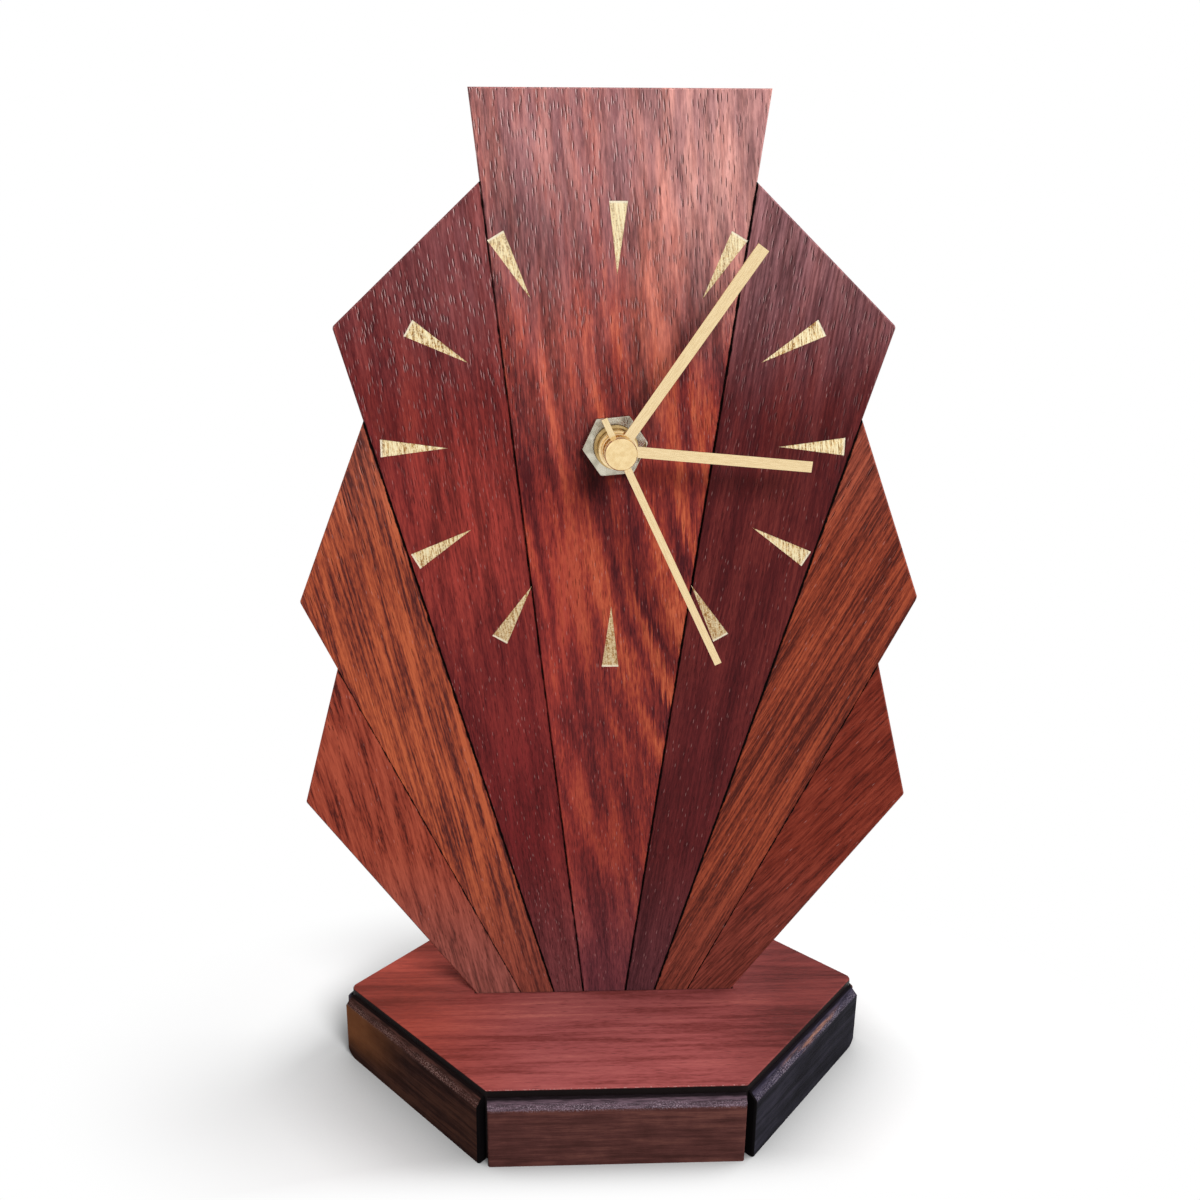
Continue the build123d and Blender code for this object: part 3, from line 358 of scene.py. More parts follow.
def make_stave_wood(name, look):
    """Wood of one stave; its fibres lean from upright, clockwise as the dial is read."""
    made, tree = material(name)
    face = millimetres(tree)
    x, y, z = apart(tree, face)
    fibre_turn = (0.0, -radians(look["lean"]), 0.0)
    along = millimetres(tree, fibre_turn, look["start"])
    figure = mask(tree, grain_streaks, Vector=along, Width=look["figure"][0], Length=look["figure"][1],
                  Slant=radians(look.get("slant", 0.0)), Feather=look["feather"], Sway=look["sway"])
    if "flame" in look:
        flame = look["flame"]
        fanned = work(tree, "MULTIPLY_ADD", x, radians(flame["fan"]), radians(flame["slant"]))
        flames = mask(tree, grain_streaks, Vector=along, Width=flame["width"], Length=flame["length"],
                      Slant=fanned, Feather=flame["feather"], Sway=flame["sway"])
        figure = between(tree, patch_share(tree, face, flame), figure, flames)
    stripe = mask(tree, grain_streaks, Vector=along, Width=look["stripe"][0], Length=look["stripe"][1],
                  Feather=look.get("comb", STRIPE_COMB), Sway=1.0)
    fibre = mask(tree, fibres, Vector=along, **WOOD_FIBRE)
    raised = ease(tree, z, look["top_sheen_from"] - RAISED_BELOW_TOP_SHEEN, look["top_sheen_to"])
    calm = times(tree, raised, look.get("calm", CALM_ABOVE))
    calm = work(tree, "MULTIPLY_ADD", ease(tree, z, CALM_FROM, CALM_TO), CALM_BELOW, calm)
    figure = between(tree, calm, figure, 0.5)
    level = weighed(tree, (figure, stripe, fibre), look["weights"])
    colour = shades(tree, level, look["shades"])

    # Patches of the wood's tone and of painted light, a painted sheen that lightens each stave towards its
    # top, smoky streaks, and a painted reflection that greys the foot
    broken = work(tree, "MULTIPLY_ADD", stripe, 0.5, 0.65)
    for patch in look.get("patches", ()):
        share = times(tree, patch_share(tree, face, patch), patch["share"], broken)
        colour = tint(tree, share, colour, grained(tree, level, patch["colour"]))
    # Painted sheen: the stave's colour turns lighter towards its top
    top_sheen = times(tree, ease(tree, z, look["top_sheen_from"], look["top_sheen_to"]), look["top_sheen_share"], broken)
    colour = tint(tree, top_sheen, colour, grained(tree, level, look["top_sheen"]))
    shifted = millimetres(tree, fibre_turn, [part + SECOND_START for part in look["start"]])
    if "smoke" in look:
        smoke = mask(tree, grain_streaks, Vector=shifted, **SMOKE_STREAK)
        share = times(tree, smoke, raised, look["smoke_share"])
        colour = tint(tree, share, colour, grained(tree, level, look["smoke"]))
    # Painted reflection: the colour turns greyer towards the foot of the stave, near the base
    foot = times(tree, ease(tree, z, BASE_TOP + FOOT_HEIGHT, BASE_TOP), FOOT_REFLECTION_SHARE)
    colour = tint(tree, foot, colour, grained(tree, level, look["foot"]))

    # Dark pores with a painted highlight on their lit lip, and pale dashes painted in as glints from the
    # pores
    pore = dict(Spacing=look["pore"][0], Length=look["pore"][1], Share=look["pore"][2])
    dark = mask(tree, pore_dashes, Vector=along, **pore)
    beside = millimetres(tree, fibre_turn, (look["start"][0] + PORE_LIP, *look["start"][1:]))
    lip = work(tree, "SUBTRACT", mask(tree, pore_dashes, Vector=beside, **pore), dark)
    glinting_pores = mask(tree, pore_dashes, Vector=shifted, Share=look["pore_glints"], **PORE_GLINT_SIZE)
    pore_share = times(tree, dark, work(tree, "MULTIPLY_ADD", raised, 0.4, 0.42))
    colour = tint(tree, pore_share, colour, tone(*look["pore_colour"]))
    # Painted highlight on the lit lip of each pore, strongest towards the top
    lip_share = times(tree, raised, look["lips"])
    if "lips_fade" in look:
        faded = work(tree, "MULTIPLY_ADD", ease(tree, x, *look["lips_fade"]), 0.65, 0.35)
        lip_share = times(tree, lip_share, faded)
    lip = times(tree, work(tree, "MAXIMUM", lip, 0.0), lip_share)
    colour = tint(tree, lip, colour, LIT_LIP)
    colour = tint(tree, times(tree, glinting_pores, PORE_GLINT_SHARE), colour, PORE_GLINT)

    gaps = 0.0
    for angle, half_width, top in look["gaps"]:
        gap = mask(tree, joint_gap, Vector=face, Angle=angle, Half_Width=half_width, Top=top)
        gaps = work(tree, "MAXIMUM", gap, gaps)
    colour = tint(tree, gaps, colour, GAP_COLOUR)
    roughness = work(tree, "MULTIPLY_ADD", fibre, 0.12, 0.4)
    roughness = work(tree, "MULTIPLY_ADD", dark, 0.2, roughness)
    depth = work(tree, "MULTIPLY_ADD", raised, -1.4, -0.8)
    height = work(tree, "MULTIPLY_ADD", dark, depth, times(tree, fibre, 0.4))
    finish(tree, colour, roughness, height, STAVE_RELIEF, Specular_IOR_Level=WOOD_GLOSS)
    return made


STAVE_LOOKS = {
    "stave_centre": dict(
        lean=-4.0, start=(3.0, 0.0, -112.0), figure=(4.0, 34.0), slant=7.0, feather=12.0, sway=8.0,
        stripe=(0.6, 7.0), weights=(0.58, 0.16, 0.26),
        flame=dict(slant=15.0, fan=0.5, width=4.6, length=44.0, feather=14.0, sway=7.0, at=(12.0, 114.0),
                   reach=(28.0, 70.0)),
        shades=((0.16, (70, 26, 30)), (0.36, (108, 40, 39)), (0.54, (138, 53, 45)), (0.68, (162, 70, 50)),
                (0.9, (190, 94, 64))),
        calm=0.72, pore=(0.34, 4.0, 0.95), pore_colour=(56, 28, 32), lips=0.8, lips_fade=(30.0, -10.0),
        smoke=(116, 84, 92), smoke_share=0.5, pore_glints=0.16,
        # The pale patch high on the right is a painted sheen, and the two dark red patches lower down are
        # the wood's deeper tone with painted shade towards the foot.
        patches=(dict(at=(22.0, 232.0), reach=(26.0, 62.0), share=0.75, colour=(216, 158, 148)),
                 dict(at=(-17.0, 214.0), reach=(14.0, 40.0), share=0.6, colour=(112, 72, 79)),
                 dict(at=(1.0, 222.0), reach=(7.0, 34.0), share=0.6, colour=(112, 72, 78)),
                 dict(at=(8.0, 196.0), reach=(9.0, 44.0), share=0.4, colour=(190, 112, 90)),
                 dict(at=(-12.0, 180.0), reach=(18.0, 34.0), share=0.35, colour=(176, 92, 78)),
                 dict(at=(-14.0, 116.0), reach=(16.0, 62.0), share=0.65, colour=(122, 43, 40)),
                 dict(at=(-5.0, 54.0), reach=(26.0, 62.0), share=0.55, colour=(114, 40, 38))),
        top_sheen=(192, 137, 130), top_sheen_from=172.0, top_sheen_to=236.0, top_sheen_share=0.56, foot=(94, 54, 62),
        gaps=((CENTRE_JOINT, 0.2, INNER_TOP),)),
    "stave_inner_left": dict(
        lean=-8.0, start=(17.0, 4.0, 11.0), figure=(4.0, 40.0), feather=12.0, sway=4.0, stripe=(0.6, 8.0),
        weights=(0.42, 0.26, 0.32),
        shades=((0.1, (74, 23, 27)), (0.5, (114, 41, 40)), (0.9, (144, 58, 50))),
        pore=(0.34, 3.8, 0.9), pore_colour=(50, 18, 23), lips=0.7, smoke=(84, 48, 54), smoke_share=0.4,
        pore_glints=0.2,
        # The first, dark patch low down is the wood's deeper tone with painted shade towards the foot.
        patches=(dict(at=(-22.0, 66.0), reach=(20.0, 70.0), share=0.8, colour=(98, 31, 33)),
                 dict(at=(-34.0, 196.0), reach=(22.0, 34.0), share=0.45, colour=(98, 52, 54)),
                 dict(at=(-32.0, 146.0), reach=(24.0, 42.0), share=0.75, colour=(142, 54, 47))),
        top_sheen=(150, 100, 100), top_sheen_from=165.0, top_sheen_to=214.0, top_sheen_share=0.3, foot=(96, 56, 59),
        gaps=((CENTRE_JOINT, 0.16, INNER_TOP), (INNER_JOINT, 0.3, MIDDLE_TOP))),
    "stave_inner_right": dict(
        lean=8.0, start=(-21.0, 2.0, 5.0), figure=(5.0, 50.0), feather=10.0, sway=3.0, stripe=(0.6, 12.0),
        weights=(0.4, 0.3, 0.3),
        shades=((0.1, (58, 19, 22)), (0.5, (82, 29, 30)), (0.9, (108, 44, 41))),
        pore=(0.36, 4.2, 0.7), pore_colour=(44, 18, 22), lips=0.3, smoke=(96, 66, 73), smoke_share=0.35,
        pore_glints=0.14,
        # The dark patch low down is the wood's deeper tone with painted shade towards the foot.
        patches=(dict(at=(24.0, 72.0), reach=(20.0, 66.0), share=0.6, colour=(76, 26, 29)),),
        top_sheen=(158, 114, 116), top_sheen_from=165.0, top_sheen_to=214.0, top_sheen_share=0.55, foot=(78, 46, 51),
        gaps=((CENTRE_JOINT, 0.3, INNER_TOP), (INNER_JOINT, 0.3, MIDDLE_TOP))),
    "stave_middle_left": dict(
        lean=-13.0, start=(40.0, 1.0, 23.0), figure=(2.3, 34.0), feather=5.0, sway=5.0,
        stripe=(0.5, 20.0), comb=1.6, weights=(0.36, 0.36, 0.28),
        shades=((0.2, (78, 36, 34)), (0.36, (120, 54, 42)), (0.52, (155, 72, 49)), (0.78, (189, 95, 61))),
        pore=(0.42, 5.0, 0.5), pore_colour=(52, 24, 22), lips=0.12, pore_glints=0.06,
        top_sheen=(164, 104, 90), top_sheen_from=130.0, top_sheen_to=168.0, top_sheen_share=0.25, foot=(110, 58, 52),
        gaps=((INNER_JOINT, 0.3, MIDDLE_TOP), (MIDDLE_JOINT, 0.14, OUTER_TOP))),
    "stave_middle_right": dict(
        lean=27.0, start=(-47.0, 6.0, 31.0), figure=(2.4, 40.0), feather=5.0, sway=4.0,
        stripe=(0.5, 24.0), comb=1.4, weights=(0.3, 0.38, 0.32),
        shades=((0.2, (74, 30, 24)), (0.38, (104, 44, 32)), (0.55, (132, 57, 39)), (0.8, (160, 75, 49))),
        pore=(0.42, 5.0, 0.5), pore_colour=(46, 19, 16), lips=0.08, pore_glints=0.05,
        top_sheen=(146, 92, 82), top_sheen_from=130.0, top_sheen_to=168.0, top_sheen_share=0.2, foot=(108, 54, 46),
        gaps=((INNER_JOINT, 0.3, MIDDLE_TOP), (MIDDLE_JOINT, 0.14, OUTER_TOP))),
    "stave_outer_left": dict(
        lean=-13.0, start=(61.0, 3.0, 9.0), figure=(1.7, 20.0), feather=7.0, sway=3.0, stripe=(0.5, 8.0),
        weights=(0.44, 0.34, 0.22),
        shades=((0.14, (76, 29, 25)), (0.36, (138, 57, 43)), (0.84, (177, 83, 61))),
        pore=(0.45, 3.6, 0.6), pore_colour=(54, 20, 16), lips=0.1, pore_glints=0.05,
        top_sheen=(160, 92, 78), top_sheen_from=100.0, top_sheen_to=135.0, top_sheen_share=0.2, foot=(130, 80, 74),
        gaps=((MIDDLE_JOINT, 0.14, OUTER_TOP),)),
    "stave_outer_right": dict(
        lean=41.0, start=(-66.0, 8.0, 3.0), figure=(2.2, 18.0), feather=8.0, sway=4.0, stripe=(0.5, 7.0),
        weights=(0.38, 0.38, 0.24),
        shades=((0.12, (70, 24, 18)), (0.42, (106, 38, 27)), (0.9, (138, 58, 42))),
        pore=(0.45, 3.6, 0.55), pore_colour=(44, 16, 12), lips=0.08, pore_glints=0.04,
        top_sheen=(126, 66, 56), top_sheen_from=100.0, top_sheen_to=135.0, top_sheen_share=0.2, foot=(112, 56, 48),
        gaps=((MIDDLE_JOINT, 0.14, OUTER_TOP),)),
}


FOOT_HALF_WIDTH = (BASE_TOP - FAN_FOCUS_Z) * tan(FOOT_ANGLE)
BASE_START = (12.0, 0.0, 5.0)
BASE_FIGURE = dict(Width=5.0, Length=70.0, Feather=12.0, Sway=4.0)
BASE_STRIPE = dict(Width=1.1, Length=22.0, Feather=10.0, Sway=1.0)
BASE_WEIGHTS = (0.45, 0.3, 0.25)
BASE_SHADES = ((0.12, (116, 54, 52)), (0.45, (148, 76, 75)), (0.7, (158, 85, 82)), (0.92, (178, 101, 93)))
BASE_PORES = dict(Spacing=0.5, Length=4.0, Share=0.4)
BASE_PORE_COLOUR = tone(80, 34, 33)
BASE_RIGHT_SHADE = (84, 36, 34)
BASE_LEFT = (128, 50, 36)
FOOT_LINE = tone(44, 20, 20)
BASE_WEAR_AND_HIGHLIGHT = tone(176, 128, 122)
BASE_SIDE = tone(17, 11, 11)
BASE_RELIEF = 0.06
BASE_GLOSS = 0.05


def make_base_wood():
    """Top of the base, with the grain from side to side, black sides and a front edge with pale specks of
    wear and painted highlight.
    """
    made, tree = material("base_wood")
    face = millimetres(tree)
    x, y, z = apart(tree, face)
    along = millimetres(tree, (0.0, -radians(90.0), 0.0), BASE_START)
    figure = mask(tree, grain_streaks, Vector=along, **BASE_FIGURE)
    stripe = mask(tree, grain_streaks, Vector=along, **BASE_STRIPE)
    fibre = mask(tree, fibres, Vector=along, **WOOD_FIBRE)
    level = weighed(tree, (figure, stripe, fibre), BASE_WEIGHTS)
    colour = shades(tree, level, BASE_SHADES)
    pores = mask(tree, pore_dashes, Vector=along, **BASE_PORES)
    colour = tint(tree, times(tree, pores, 0.4), colour, BASE_PORE_COLOUR)
    # Painted shade: the right side of the top is darkened, a painted dark reflection there
    right_shade = times(tree, ease(tree, x, 12.0, 50.0), 0.85)
    colour = tint(tree, right_shade, colour, grained(tree, level, BASE_RIGHT_SHADE))
    left_side = times(tree, ease(tree, x, -12.0, -52.0), 0.75)
    colour = tint(tree, left_side, colour, grained(tree, level, BASE_LEFT, 0.16))
    # Dark line just in front of the panel's foot: the gap of its groove, with painted contact shade
    inside_foot = ease(tree, work(tree, "ABSOLUTE", x), FOOT_HALF_WIDTH + 0.3, FOOT_HALF_WIDTH)
    foot_line = times(tree, ease(tree, y, PANEL_FACE - 0.6, PANEL_FACE - 0.2), inside_foot, 0.8)
    colour = tint(tree, foot_line, colour, FOOT_LINE)
    # Pale specks along the top front edge: wear, and painted edge highlights
    upper = ease(tree, z, BASE_TOP - 0.35, BASE_TOP - 0.1)
    edge = times(tree, upper, ease(tree, y, BASE_FRONT + 0.7, BASE_FRONT))
    wear_and_highlight = mask(tree, speckle, Vector=face, Size=0.5, Share=times(tree, edge, 0.55))
    colour = tint(tree, times(tree, wear_and_highlight, edge), colour, BASE_WEAR_AND_HIGHLIGHT)
    side = ease(tree, z, BASE_TOP - 0.12, BASE_TOP - 0.3)
    colour = tint(tree, side, colour, BASE_SIDE)
    roughness = work(tree, "MULTIPLY_ADD", fibre, 0.12, 0.36)
    height = work(tree, "MULTIPLY_ADD", pores, -0.8, times(tree, fibre, 0.4))
    finish(tree, colour, roughness, height, BASE_RELIEF, Specular_IOR_Level=BASE_GLOSS)
    return made


STRIP_END = 4.5
END_ROUND = 1.2
FOOT_ROUND = 3.5
STRIP_FIGURE = dict(Width=3.0, Length=30.0, Feather=8.0, Sway=2.0)
STRIP_STRIPE = dict(Width=0.8, Length=14.0, Feather=6.0, Sway=0.5)
STRIP_SCUFF = dict(Width=0.3, Length=4.0)
STRIP_SPECKS = dict(Size=0.26, Share=0.5)
STRIP_WEIGHTS = (0.25, 0.2, 0.15, 0.4)
MOTTLE_CELL = (4.0, 4.0, 4.0)
SPECK_CELL = (9.0, 9.0, 9.0)
LEDGE_BLACK = tone(14, 11, 12)
END_BLACK = tone(12, 10, 11)
STRIP_RELIEF = 0.08
STRIP_GLOSS = 0.005


def make_strip_wood(name, turn, outwards, look, end):
    """Dark stained strip of the base, with wear and painted highlights on its bevel, a black ledge and
    black inner ends.
    """
    made, tree = material(name)
    face = millimetres(tree)
    z = apart(tree, face)[2]
    level_turn = millimetres(tree, (0.0, 0.0, -turn))
    out = times(tree, apart(tree, level_turn)[0], outwards)
    if turn:
        # Follow the rounded outer end, so that the bevel's colours drop with it
        past = work(tree, "MAXIMUM", work(tree, "SUBTRACT", out, end - END_ROUND), 0.0)
        past = work(tree, "MINIMUM", past, END_ROUND)
        left_over = work(tree, "SUBTRACT", END_ROUND ** 2, times(tree, past, past))
        z = work(tree, "ADD", z, work(tree, "SUBTRACT", END_ROUND, work(tree, "SQRT", left_over)))
    along = turned(tree, level_turn, (0.0, -radians(90.0), 0.0))
    figure = mask(tree, grain_streaks, Vector=along, **STRIP_FIGURE)
    stripe = mask(tree, grain_streaks, Vector=along, **STRIP_STRIPE)
    fibre = mask(tree, fibres, Vector=along)
    mottle = cloud(tree, over(tree, face, MOTTLE_CELL), 3.0, 0.6)
    level = weighed(tree, (figure, stripe, fibre, mottle), STRIP_WEIGHTS)
    colour = shades(tree, level, look["shades"])
    if "far_end" in look:
        uneven = work(tree, "MULTIPLY_ADD", mottle, 0.6, 0.4)
        far_share = times(tree, ease(tree, out, 20.0, 45.0), uneven, ease(tree, z, 0.5, 9.0))
        colour = tint(tree, far_share, colour, tone(*look["far_end"]))
    rim_height = STRIP_TOP - STRIP_BEVEL
    bevel = ease(tree, z, rim_height - 0.15, rim_height + 0.15)
    scuff = mask(tree, fibres, Vector=along, **STRIP_SCUFF)
    colour = tint(tree, bevel, colour, grained(tree, scuff, look["bevel"]))
    if "streak" in look:
        rubbed = times(tree, ease(tree, out, 6.0, 14.0), ease(tree, out, 40.0, 26.0))
        rubbed = times(tree, rubbed, ease(tree, z, STRIP_TOP - 0.5, STRIP_TOP - 1.1), bevel)
        rubbed = times(tree, rubbed, ease(tree, stripe, 0.2, 0.6))
        rubbed = times(tree, rubbed, work(tree, "MULTIPLY_ADD", scuff, 0.9, 0.1))
        colour = tint(tree, rubbed, colour, tone(*look["streak"]))
    # Pale specks round the bevel: wear, and painted edge highlights
    from_rim = work(tree, "ABSOLUTE", work(tree, "SUBTRACT", z, rim_height + 0.3))
    rim = ease(tree, from_rim, 1.0, 0.1)
    chip_and_highlight_specks = mask(tree, speckle, Vector=face, **STRIP_SPECKS)
    speck_density = ease(tree, cloud(tree, over(tree, face, SPECK_CELL), 2.0), 0.35, 0.65)
    chip_and_highlight_specks = times(tree, chip_and_highlight_specks, work(tree, "MULTIPLY_ADD", speck_density, 0.65, 0.35))
    wear_and_highlight = times(tree, rim, chip_and_highlight_specks)
    colour = tint(tree, times(tree, wear_and_highlight, look["wear_and_highlight_share"]), colour, tone(*look["wear_and_highlight"]))
    # Black ledge in the corner under the plate's edge: dark stain, with painted shade in that corner
    ledge = times(tree, ease(tree, z, STRIP_TOP - 0.55, STRIP_TOP - 0.25), 0.9)
    colour = tint(tree, ledge, colour, LEDGE_BLACK)
    if turn:
        colour = tint(tree, ease(tree, out, -STRIP_END + 0.2, -STRIP_END), colour, END_BLACK)
    roughness = work(tree, "MULTIPLY_ADD", fibre, 0.15, 0.4)
    height = work(tree, "MULTIPLY_ADD", wear_and_highlight, 0.8, times(tree, fibre, 0.4))
    finish(tree, colour, roughness, height, STRIP_RELIEF, Specular_IOR_Level=STRIP_GLOSS)
    return made


HAND_DARK = tone(226, 196, 146)
HAND_LIGHT = tone(248, 222, 174)
HAND_GLINT = tone(252, 236, 194)
HAND_BRUSH = dict(Width=0.12, Length=2.0)
HAND_RELIEF = 0.003
HAND_GLOSS = 0.11


def make_hand_gold(name, angle):
    """Satin gold, brushed along the hand and finely grained."""
    made, tree = material(name)
    along = millimetres(tree, (0.0, -angle, 0.0))
    brush = mask(tree, fibres, Vector=along, **HAND_BRUSH)
    glint = mask(tree, speckle, Vector=along, Size=0.2, Share=0.5)
    colour = tint(tree, brush, HAND_DARK, HAND_LIGHT)
    colour = tint(tree, times(tree, glint, 0.45), colour, HAND_GLINT)
    roughness = work(tree, "MULTIPLY_ADD", brush, 0.05, HAND_GLOSS)
    height = work(tree, "MULTIPLY_ADD", glint, 0.5, brush)
    finish(tree, colour, roughness, height, HAND_RELIEF, Metallic=1.0)
    return made


GILT_TURN = radians(7.0)
GILT_STROKE = dict(Width=0.28, Length=2.8)
GILT_GRAIN = dict(Size=0.34, Share=0.55)
GILT_SHADES = ((0.2, (144, 97, 40)), (0.5, (232, 195, 132)), (0.8, (255, 243, 200)))
GILT_LOW_SHADE = tone(142, 88, 22)
GILT_TOP_LIGHT = tone(252, 236, 196)
GILT_GLINT = tone(253, 237, 194)
GILT_RIM_HIGHLIGHT = tone(252, 242, 216)
GILT_RELIEF = 0.03


def make_gilding():
    """Gold paint with a fine glittering grain, broken along the pores of the wood below it."""
    made, tree = material("gilding")
    along = millimetres(tree, (0.0, GILT_TURN, 0.0))
    stroke = mask(tree, fibres, Vector=along, **GILT_STROKE)
    glint = mask(tree, speckle, Vector=along, **GILT_GRAIN)
    colour = shades(tree, stroke, GILT_SHADES)
    x, y, z = apart(tree, millimetres(tree))
    # Painted shade: the lower marks are darker and duller, with fewer glints
    lower_shade = times(tree, ease(tree, z, 150.0, 108.0), 0.62)
    colour = tint(tree, lower_shade, colour, GILT_LOW_SHADE)
    # Painted light: the upper marks are lighter
    upper_light = times(tree, ease(tree, z, 186.0, 216.0), 0.45)
    colour = tint(tree, upper_light, colour, GILT_TOP_LIGHT)
    glint_share = times(tree, glint, work(tree, "MULTIPLY_ADD", lower_shade, -0.3, 0.62))
    colour = tint(tree, glint_share, colour, GILT_GLINT)
    above = work(tree, "SUBTRACT", z, (marks_low.z + marks_high.z) / 2)
    far = length(tree, joined(tree, x, 0.0, above))
    ring = (marks_high.z - marks_low.z) / 2
    # Painted highlight along the outer rim of each mark
    rim_highlight = times(tree, ease(tree, far, ring - 0.6, ring - 0.2), 0.8)
    colour = tint(tree, rim_highlight, colour, GILT_RIM_HIGHLIGHT)
    roughness = work(tree, "MULTIPLY_ADD", glint, 0.2, 0.36)
    height = work(tree, "MULTIPLY_ADD", stroke, 0.6, glint)
    finish(tree, colour, roughness, height, GILT_RELIEF, Metallic=0.5)
    return made


METAL_GRAIN = dict(Size=0.3, Share=0.5)
METAL_RELIEF = 0.01


def make_metal(name, dark, light, roughness, mottle=3.0):
    """Plain metal with a fine mottle in its colour, gloss and surface."""
    made, tree = material(name)
    face = millimetres(tree)
    grain = mask(tree, speckle, Vector=face, **METAL_GRAIN)
    broad = ease(tree, cloud(tree, over(tree, face, (mottle, mottle, mottle)), 2.0), 0.3, 0.7)
    colour = tint(tree, broad, tone(*dark), tone(*light))
    rough = work(tree, "MULTIPLY_ADD", grain, 0.1, roughness)
    finish(tree, colour, rough, grain, METAL_RELIEF, Metallic=1.0)
    return made


SPARK_CELL = (0.4, 0.4, 0.4)
SHADE_CELL = (9.0, 9.0, 9.0)


def make_moulding(name, dark, light, roughness, relief=0.03):
    """Moulded plastic or rubber with a fine spark-eroded grain."""
    made, tree = material(name)
    face = millimetres(tree)
    grain = cloud(tree, over(tree, face, SPARK_CELL), 2.0, 0.6)
    broad = cloud(tree, over(tree, face, SHADE_CELL), 2.0)
    colour = tint(tree, broad, tone(*dark), tone(*light))
    rough = work(tree, "MULTIPLY_ADD", grain, 0.2, roughness)
    finish(tree, colour, rough, grain, relief)
    return made


SLEEVE_DARK = tone(52, 58, 64)
SLEEVE_LIGHT = tone(66, 72, 78)
BARE_METAL = tone(196, 194, 188)
SLEEVE_CELL = (0.5, 0.5, 0.5)
SLEEVE_END = 1.3
BUTTON = 1.0


def make_cell_sleeve():
    """Plain shrink sleeve of the battery, with bare metal at both ends."""
    made, tree = material("cell_sleeve")
    face = millimetres(tree)
    x = apart(tree, face)[0]
    grain = cloud(tree, over(tree, face, SLEEVE_CELL), 2.0)
    left = ease(tree, x, cell_low.x + SLEEVE_END, cell_low.x + SLEEVE_END - 0.1)
    right_end = cell_high.x - SLEEVE_END - BUTTON
    right = ease(tree, x, right_end, right_end + 0.1)
    bare = work(tree, "MAXIMUM", left, right)
    sleeve = tint(tree, grain, SLEEVE_DARK, SLEEVE_LIGHT)
    colour = tint(tree, bare, sleeve, BARE_METAL)
    roughness = work(tree, "MULTIPLY_ADD", grain, 0.1, 0.3)
    finish(tree, colour, roughness, grain, METAL_RELIEF, Metallic=bare)
    return made


CASE_PLASTIC = make_moulding("case_plastic", (24, 24, 26), (31, 31, 33), 0.42)
WHEEL_PLASTIC = make_moulding("wheel_plastic", (220, 216, 204), (236, 233, 224), 0.35, 0.01)
RUBBER = make_moulding("rubber", (22, 22, 22), (30, 30, 30), 0.7, 0.04)
BOARD_GREEN = make_moulding("circuit_board", (40, 92, 54), (52, 108, 64), 0.4, 0.01)
NICKEL = make_metal("nickel", (174, 168, 150), (212, 206, 188), 0.2, mottle=2.0)
BRASS = make_metal("brass", (158, 126, 76), (206, 176, 120), 0.2)
STEEL = make_metal("steel", (150, 152, 154), (182, 184, 186), 0.34)
COPPER = make_metal("copper", (158, 84, 48), (196, 112, 70), 0.28)
GILDING = make_gilding()
CELL_SLEEVE = make_cell_sleeve()
BASE_WOOD = make_base_wood()
STAVE_WOODS = {}
for stave_name, stave_look in STAVE_LOOKS.items():
    STAVE_WOODS[stave_name] = make_stave_wood("wood_of_" + stave_name, stave_look)
HAND_GOLDS = {hand: make_hand_gold("gold_of_" + hand, angle) for hand, angle in HAND_ANGLES.items()}
# The cap's gold is lighter than the hands': painted light for the highlight on its rounded face
CAP_GOLD = make_metal("gold_of_cap", (236, 205, 150), (250, 223, 170), 0.18, mottle=1.2)

SIDE_TURN = radians(45.55)
# The grey bevel colours of the front and right strips and the bluish cast of the right strip are painted
# sheen
FRONT_STRIP = dict(shades=((0.25, (66, 39, 36)), (0.5, (84, 50, 47)), (0.75, (106, 66, 59))),
                   bevel=(78, 62, 70), wear_and_highlight=(170, 150, 162), wear_and_highlight_share=0.6)
LEFT_STRIP = dict(shades=((0.25, (36, 21, 19)), (0.5, (52, 32, 28)), (0.75, (74, 47, 38))),
                  bevel=(58, 37, 33), wear_and_highlight=(146, 114, 108), wear_and_highlight_share=0.8, far_end=(140, 86, 52))
RIGHT_STRIP = dict(shades=((0.25, (22, 21, 25)), (0.5, (32, 31, 37)), (0.75, (46, 44, 53))),
                   bevel=(46, 42, 54), wear_and_highlight=(144, 132, 144), wear_and_highlight_share=0.9, streak=(140, 96, 76))
STRIP_TURNS = {
    "base_strip_front": (0.0, 1.0, FRONT_STRIP), "base_strip_back": (0.0, 1.0, FRONT_STRIP),
    "base_strip_front_left": (-SIDE_TURN, -1.0, LEFT_STRIP),
    "base_strip_back_right": (-SIDE_TURN, 1.0, LEFT_STRIP),
    "base_strip_front_right": (SIDE_TURN, 1.0, RIGHT_STRIP),
    "base_strip_back_left": (SIDE_TURN, -1.0, RIGHT_STRIP),
}
STRIP_WOODS = {}
for strip_node, (strip_turn, strip_outwards, strip_look) in STRIP_TURNS.items():
    strip_way = Vector((cos(strip_turn), sin(strip_turn), 0.0)) * strip_outwards
    strip_end = max(vertex.co.dot(strip_way) for vertex in nodes[strip_node].data.vertices) / MM
    STRIP_WOODS[strip_node] = make_strip_wood(
        "wood_of_" + strip_node, strip_turn, strip_outwards, strip_look, strip_end)

